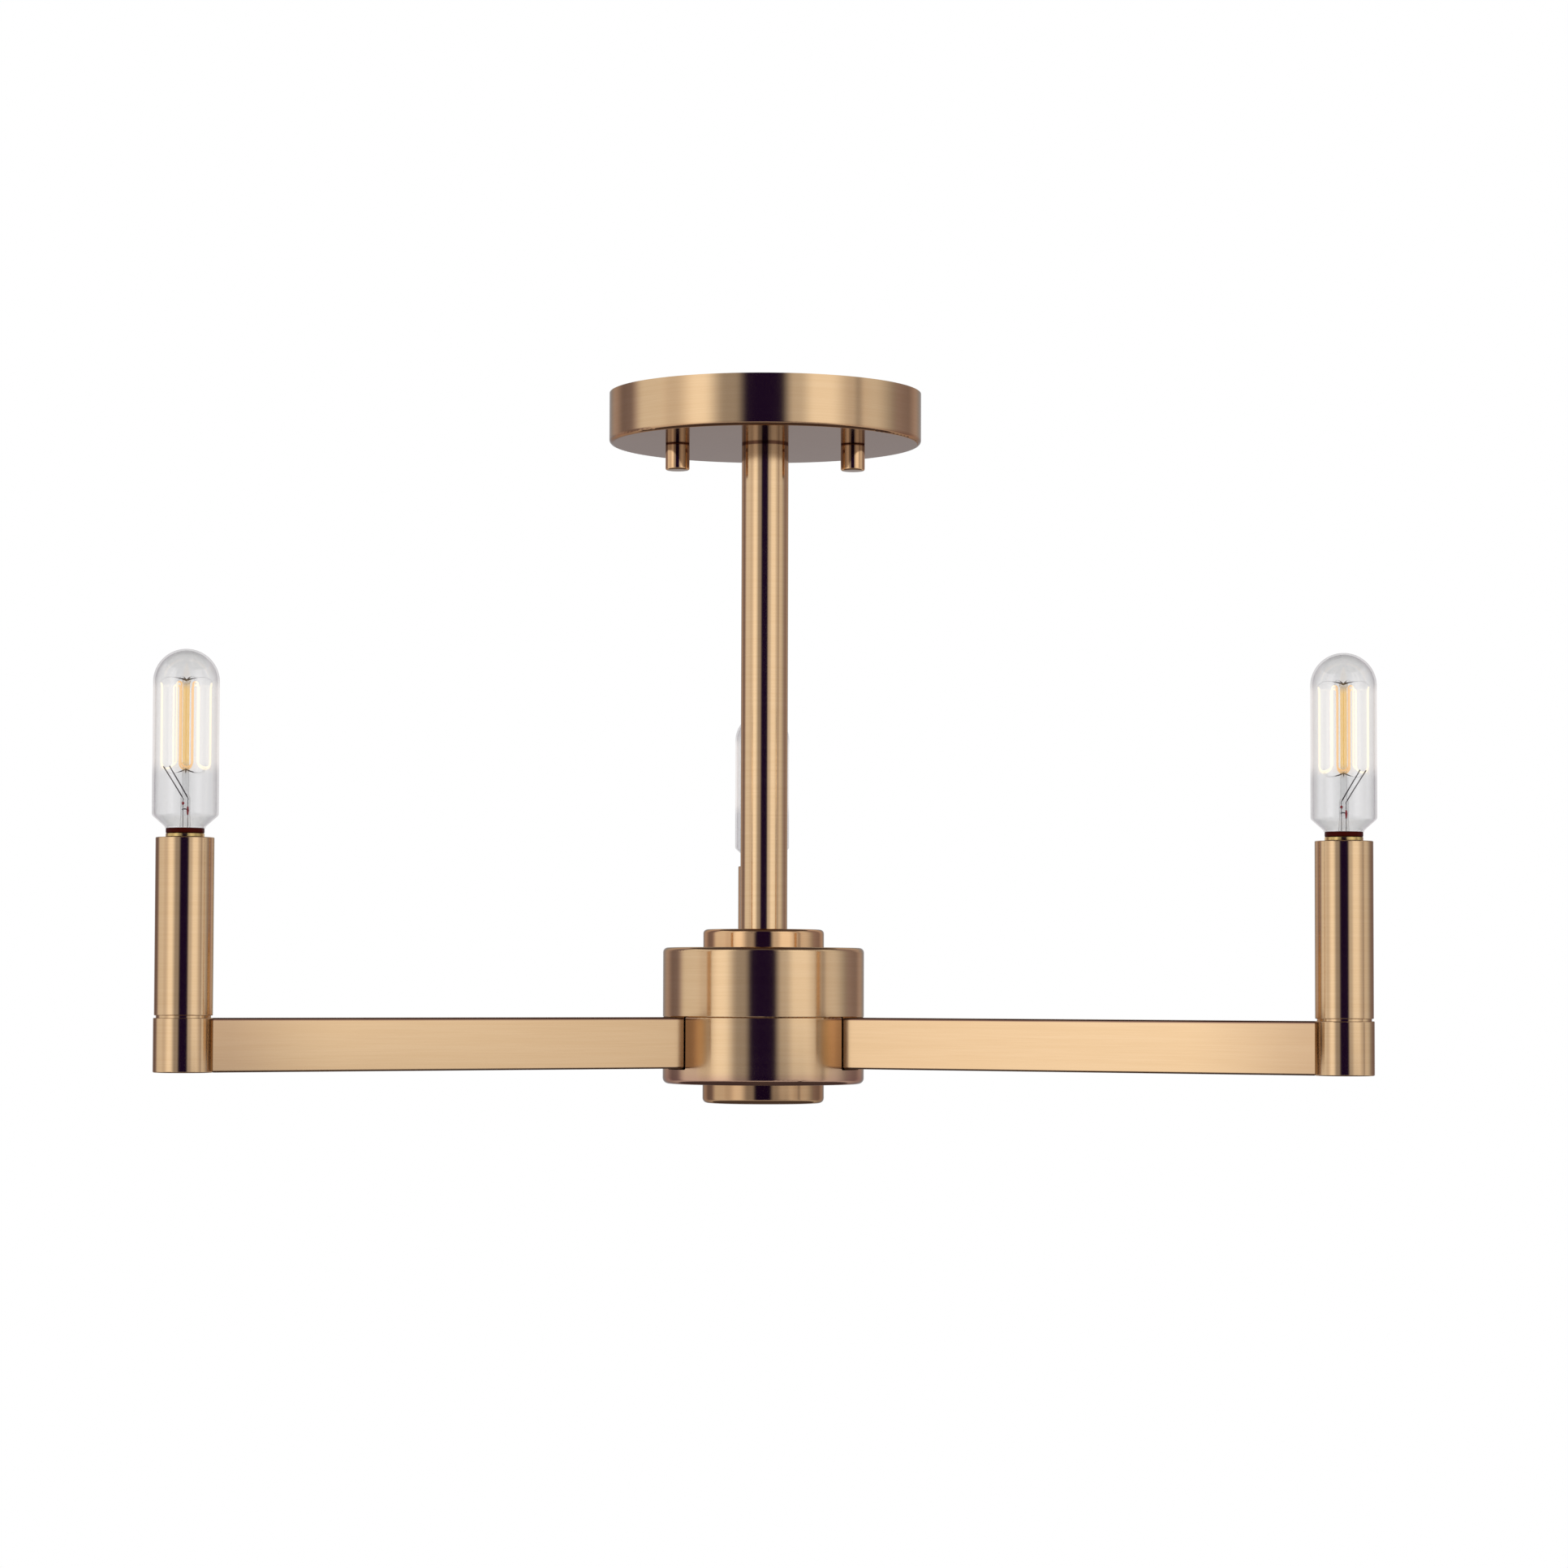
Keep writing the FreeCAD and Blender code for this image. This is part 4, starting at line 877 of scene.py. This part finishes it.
class CEILINGLIGHT_OT_lamp_filament(bpy.types.Operator):
    """Caged hairpin filaments, the pair nearest the front redder than the rest"""

    bl_idname = "ceiling_light.lamp_filament"
    bl_label = "Filaments"

    def execute(self, context):
        sizes = context.scene.ceiling_light_lamps
        glow = filament_glow("filament")
        for arm in ARM_ANGLES:
            low, high = levels("bulb_filament_%d" % arm)
            path, radial = self.cage_path(arm, low + sizes.cage_foot, high - sizes.cage_head,
                                          sizes)
            surface = tube_along(path, sizes.filament, radial, 8)
            made = lamp_piece("filament_wire", arm, surface, glow, "filament")
            outward = surface[0][:, :2] - np.array(arm_end(arm))
            outward /= np.linalg.norm(outward, axis=1, keepdims=True)
            facing = np.abs(outward @ compass(lamp_front(arm))[0][:2])
            warmth = np.clip((facing - 0.93) / 0.03, 0.0, 1.0)
            made.data.attributes.new("warmth", "FLOAT", "POINT").data.foreach_set(
                "value", warmth.astype(np.float32))
        return {"FINISHED"}

    def cage_path(self, arm, low, high, sizes):
        """One wire up and down round a cage. Along leg k the angle is steady and the height runs
        between two levels; a bend takes half an ellipse on the cage's wall, so that the angle
        goes as the cosine and the height as the sine. The two ends curve towards each other and
        stop a little apart, where the lead-in wires meet them."""
        foot, top = low + sizes.filament, high - sizes.filament
        run = np.linspace(0.0, 1.0, 18)[:, None]
        half_turn = np.linspace(0.0, math.pi, 14)[1:-1]
        whole = 2.0 * math.pi * lamp_side(arm)
        legs = [leg_angle(arm, k) for k in range(len(LEGS))]
        stretches = [self.bend(legs[-1] + whole, legs[0], foot, -1.0, sizes, half_turn[8:])]
        for k, leg in enumerate(legs):
            last = k + 1 == len(legs)
            onward = legs[0] - whole if last else legs[k + 1]
            before, after = (self.depth(leg, other, sizes) for other in (legs[k - 1], onward))
            climbs = k % 2 == 0
            start, end = (foot + before, top - after) if climbs else (top - before, foot + after)
            stretches.append(np.hstack([np.full(run.shape, leg), start + (end - start) * run]))
            stretches.append(self.bend(leg, onward, *((top, 1.0) if climbs else (foot, -1.0)),
                                       sizes, half_turn[:4] if last else half_turn))
        bearing, height = np.vstack(stretches).T
        radial = compass(bearing)[0]
        path = radial * (sizes.cage - sizes.filament) + [*arm_end(arm), 0.0]
        path[:, 2] = height
        return path, radial

    def depth(self, one, other, sizes):
        """Depth of the bend between two legs' angles: half their distance, up to a limit."""
        radius = sizes.cage - sizes.filament
        return min(sizes.bend, radius * abs(math.sin((one - other) / 2.0)))

    def bend(self, start, end, tip, lift, sizes, turn):
        """Part of the half ellipse from one leg's angle to the next, with its tip at a level."""
        bearing = (start + end) / 2.0 + (start - end) / 2.0 * np.cos(turn)
        height = tip + lift * self.depth(start, end, sizes) * (np.sin(turn) - 1.0)
        return np.stack([bearing, height], axis=1)


# Operator: threads ---

class CEILINGLIGHT_OT_threads(bpy.types.Operator):
    """Cut threads on the studs and hollow pipes"""

    bl_idname = "ceiling_light.threads"
    bl_label = "Threads"

    def execute(self, context):
        zinc = bpy.data.materials["zinc_steel"]
        stud, pipe, axis = half("canopy_studs", 1), (0.4 * MM, 0.94 * MM), [(0.0, 0.0)]
        reach = half("canopy_studs") - stud
        hollow = {"bore": 3.2 * MM}
        for name, node, centres, outer, cut, form in (
                ("canopy_stud_threads", "canopy_studs", [(-reach, 0.0), (reach, 0.0)], stud,
                 (0.28 * MM, 0.794 * MM), {"around": 28, "per_turn": 8}),
                ("canopy_pipe_thread", "canopy_pipe", axis, half("canopy_pipe"), pipe, hollow),
                ("hub_pipe_thread", "hub_pipe", axis, half("hub_pipe"), pipe, hollow),
                ("centre_stud_thread", "centre_stud", axis, half("centre_stud"),
                 (0.42 * MM, 1.27 * MM), {}),
                ("socket_pipe_threads", "socket_pipes", [arm_end(arm) for arm in ARM_ANGLES],
                 4.75 * MM, pipe, hollow)):
            surfaces = [thread(outer, *cut, *levels(node), centre, **form) for centre in centres]
            piece(name, joined(surfaces), "fixture", zinc, node)
        return {"FINISHED"}


# Operator: stage ---

# Panels that the brass reflects, by their distance in degrees round the light from the camera's
# side, to the left and to the right: start and end of a smooth step, and its change of light.
LEFT_PANELS = ((13.0, 22.0, 0.34), (29.0, 46.0, 0.68), (51.0, 69.0, -0.38), (73.0, 81.0, 0.08),
               (100.0, 117.0, -0.51), (126.0, 150.0, 0.50))
RIGHT_PANELS = ((11.0, 20.5, 0.58), (24.0, 36.0, 0.38), (47.0, 65.0, -0.41), (66.0, 70.5, -0.20),
                (71.0, 77.0, 0.28), (85.0, 112.0, -0.34), (112.0, 122.0, -0.02),
                (128.0, 150.0, 0.44))
# Light of the dark between the panels, and of the discs above and below them.
DARK, DISC = (0.0112, 0.0046, 0.036), (0.085, 0.07, 0.075)
# Radius and lowest and highest level of the ring of panels in metres, and its corners.
TENT_RADIUS, TENT_FOOT, TENT_TOP, TENT_CORNERS = 2.0, -1.5, 1.55, 128


def stage_card(name, points, faces, finish):
    """Card for the stage: a mesh object in the scene, on no body of the light."""
    card = mesh_object(name, points.tolist(), faces, finish)
    return card


def reflected_card(name, points, faces, finish, tree, colour):
    """Card that sheds light of a colour and is seen only in reflections."""
    tree.surface(tree.node("Emission", {"Color": colour}))
    finish.cycles.emission_sampling = "NONE"
    card = stage_card(name, points, faces, finish)
    for ray in ("camera", "diffuse", "transmission", "volume_scatter", "shadow"):
        setattr(card, "visible_" + ray, False)


class CEILINGLIGHT_OT_stage(bpy.types.Operator):
    """Camera, pale floor, soft lights, and the panels and cards that the brass reflects"""

    bl_idname = "ceiling_light.stage"
    bl_label = "Stage"

    def execute(self, context):
        setup = context.scene.ceiling_light_stage
        self.camera(context.scene, setup)
        self.world(context.scene, setup)
        self.floor(setup)
        self.tent(setup)
        self.lamps(context.scene, setup)
        context.scene.view_settings.view_transform = "Standard"
        return {"FINISHED"}

    def camera(self, scene, setup):
        """The photograph's viewpoint: the swing turns the camera and its place round the stem,
        then it turns to the right by the yaw, up by the pitch and about its own axis."""
        data = bpy.data.cameras.new("camera")
        data.lens = setup.lens
        camera = bpy.data.objects.new("camera", data)
        camera.matrix_world = (Matrix.Rotation(setup.swing, 4, "Z")
                               @ Matrix.Translation((0.0, -setup.distance, -setup.height))
                               @ Matrix.Rotation(-setup.yaw, 4, "Z")
                               @ Matrix.Rotation(math.pi / 2.0 + setup.pitch, 4, "X")
                               @ Matrix.Rotation(setup.roll, 4, "Z"))
        scene.collection.objects.link(camera)
        scene.camera = camera

    def world(self, scene, setup):
        """White where the camera, a gloss or clear glass looks at it, plain light elsewhere."""
        scene.world = bpy.data.worlds.new("studio")
        tree = Tree(scene.world)
        seen = 0.0
        for ray in ("Camera", "Glossy", "Transmission"):
            seen = tree.node("LightPath", out="Is %s Ray" % ray) + seen
        level = seen.maths("MINIMUM", 1.0) * (1.0 - setup.ambient) + setup.ambient
        tree.surface(tree.node("Background", {"Color": (1.0, 1.0, 1.0), "Strength": level}),
                     "World")

    def floor(self, setup):
        """Round pale floor that fades into the white background between two radii."""
        near, far, rim, corners = 1.5, 3.4, 3.5, 64
        finish, tree = material("floor")
        x, y, z = tree.parts()
        radius = (x * x + y * y) ** 0.5
        speckle = tree.noise(tree.place(), 300.0)
        colour = tree.mix(speckle, (0.88,) * 3, (0.90,) * 3)
        solid = tree.node("BsdfDiffuse", {"Color": colour})
        clear = tree.node("BsdfTransparent")
        tree.surface(tree.node("MixShader", {0: radius.smooth(near, far), 1: solid, 2: clear}))
        card = stage_card("floor", circle(rim, -setup.floor, corners), [list(range(corners))],
                          finish)
        card.visible_glossy = False

    def tent(self, setup):
        """Upright ring of soft panels and dark cards round the light, closed above and below by
        dark discs, all seen only in reflections. Its brightness follows the bearing from the
        camera's side as a sum of smooth steps, each with a start, an end and a change. In front
        it is darker under the arms' level, and below that it is an even grey."""
        finish, tree = material("panels")
        x, y, z = tree.parts()
        bearing = x.maths("ARCTAN2", 0.0 - y) * (180.0 / math.pi)
        right = bearing > 0.0
        away = bearing.maths("ABSOLUTE")
        level = (self.steps(away, LEFT_PANELS) * (1.0 - right)
                 + self.steps(away, RIGHT_PANELS) * right) * setup.panel
        fade = (1.0 - z.smooth(-0.35, -0.285)) * (1.0 - away.smooth(44.0, 62.0))
        level = level * (1.0 - fade * (right * 0.50 + 0.12))
        warm = away.smooth(50.0, 64.0) * (1.0 - away.smooth(76.0, 84.0))
        below = 1.0 - z.smooth(-1.10, -0.80)
        level = level * (1.0 - below) + below * 0.55
        tint = (1.0, 1.0, 0.98)
        for amount, colour in ((warm, (1.0, 0.97, 0.93)),
                               (away.smooth(102.0, 116.0), (1.0, 0.87, 0.90)),
                               (away.smooth(140.0, 160.0), (1.0, 0.975, 0.93)),
                               (below, (1.0, 1.0, 1.0))):
            tint = tree.mix(amount, tint, colour)
        shade = tree.node("VectorMath", {0: tint, 1: level, 2: DARK}, operation="MULTIPLY_ADD")
        ends = [circle(TENT_RADIUS, height, TENT_CORNERS) for height in (TENT_FOOT, TENT_TOP)]
        reflected_card("panels", np.vstack(ends), ring_faces(2, TENT_CORNERS).tolist(), finish,
                       tree, shade)
        for name, points in (("upper_card", ends[1]), ("lower_card", ends[0])):
            reflected_card(name, points, [list(range(TENT_CORNERS))], *material(name), DISC)

    @staticmethod
    def steps(value, changes):
        """Sum of smooth steps of a value."""
        total = 0.0
        for start, end, change in changes:
            total = value.smooth(start, end) * change + total
        return total

    def lamps(self, scene, setup):
        """Two large soft lights, above to the left and to the right, that gloss doesn't show."""
        for name, place, power in (("key", (-1.3, -1.6, 1.5), setup.key),
                                   ("fill", (1.7, -1.2, 0.9), setup.key * 0.5)):
            data = bpy.data.lights.new(name, "AREA")
            data.shape = "DISK"
            data.size = 1.6
            data.energy = power
            lamp = bpy.data.objects.new(name, data)
            aim = Vector((0.0, 0.0, -0.2)) - Vector(place)
            lamp.matrix_world = Matrix.LocRotScale(place, aim.to_track_quat("-Z", "Y"), None)
            lamp.visible_glossy = False
            scene.collection.objects.link(lamp)


# Add-on ---

class CEILINGLIGHT_PT_panel(bpy.types.Panel):
    """Steps of the ceiling light in the sidebar"""

    bl_idname = "CEILINGLIGHT_PT_panel"
    bl_label = "Ceiling Light"
    bl_space_type = "VIEW_3D"
    bl_region_type = "UI"
    bl_category = "Ceiling Light"

    def draw(self, context):
        column = self.layout.column()
        for step in STEPS:
            column.operator(step.bl_idname)
        for name in GROUPS:
            group = getattr(context.scene, name)
            box = self.layout.box()
            for setting in group.__annotations__:
                box.prop(group, setting)


STEPS = (CEILINGLIGHT_OT_brass, CEILINGLIGHT_OT_fixings, CEILINGLIGHT_OT_lamp_glass,
         CEILINGLIGHT_OT_lamp_base, CEILINGLIGHT_OT_lamp_mount, CEILINGLIGHT_OT_lamp_filament,
         CEILINGLIGHT_OT_threads, CEILINGLIGHT_OT_stage)
GROUPS = {"ceiling_light_lamps": LampSizes, "ceiling_light_finishes": Finishes,
          "ceiling_light_stage": StageSettings}


def register():
    for kind in (*GROUPS.values(), *STEPS, CEILINGLIGHT_PT_panel):
        bpy.utils.register_class(kind)
    for name, group in GROUPS.items():
        setattr(bpy.types.Scene, name, bpy.props.PointerProperty(type=group))


def unregister():
    for name in GROUPS:
        delattr(bpy.types.Scene, name)
    for kind in (CEILINGLIGHT_PT_panel, *reversed(STEPS), *GROUPS.values()):
        bpy.utils.unregister_class(kind)


def main():
    register()
    for step in STEPS:
        group, name = step.bl_idname.split(".")
        getattr(getattr(bpy.ops, group), name)()


if __name__ == "__main__":
    main()
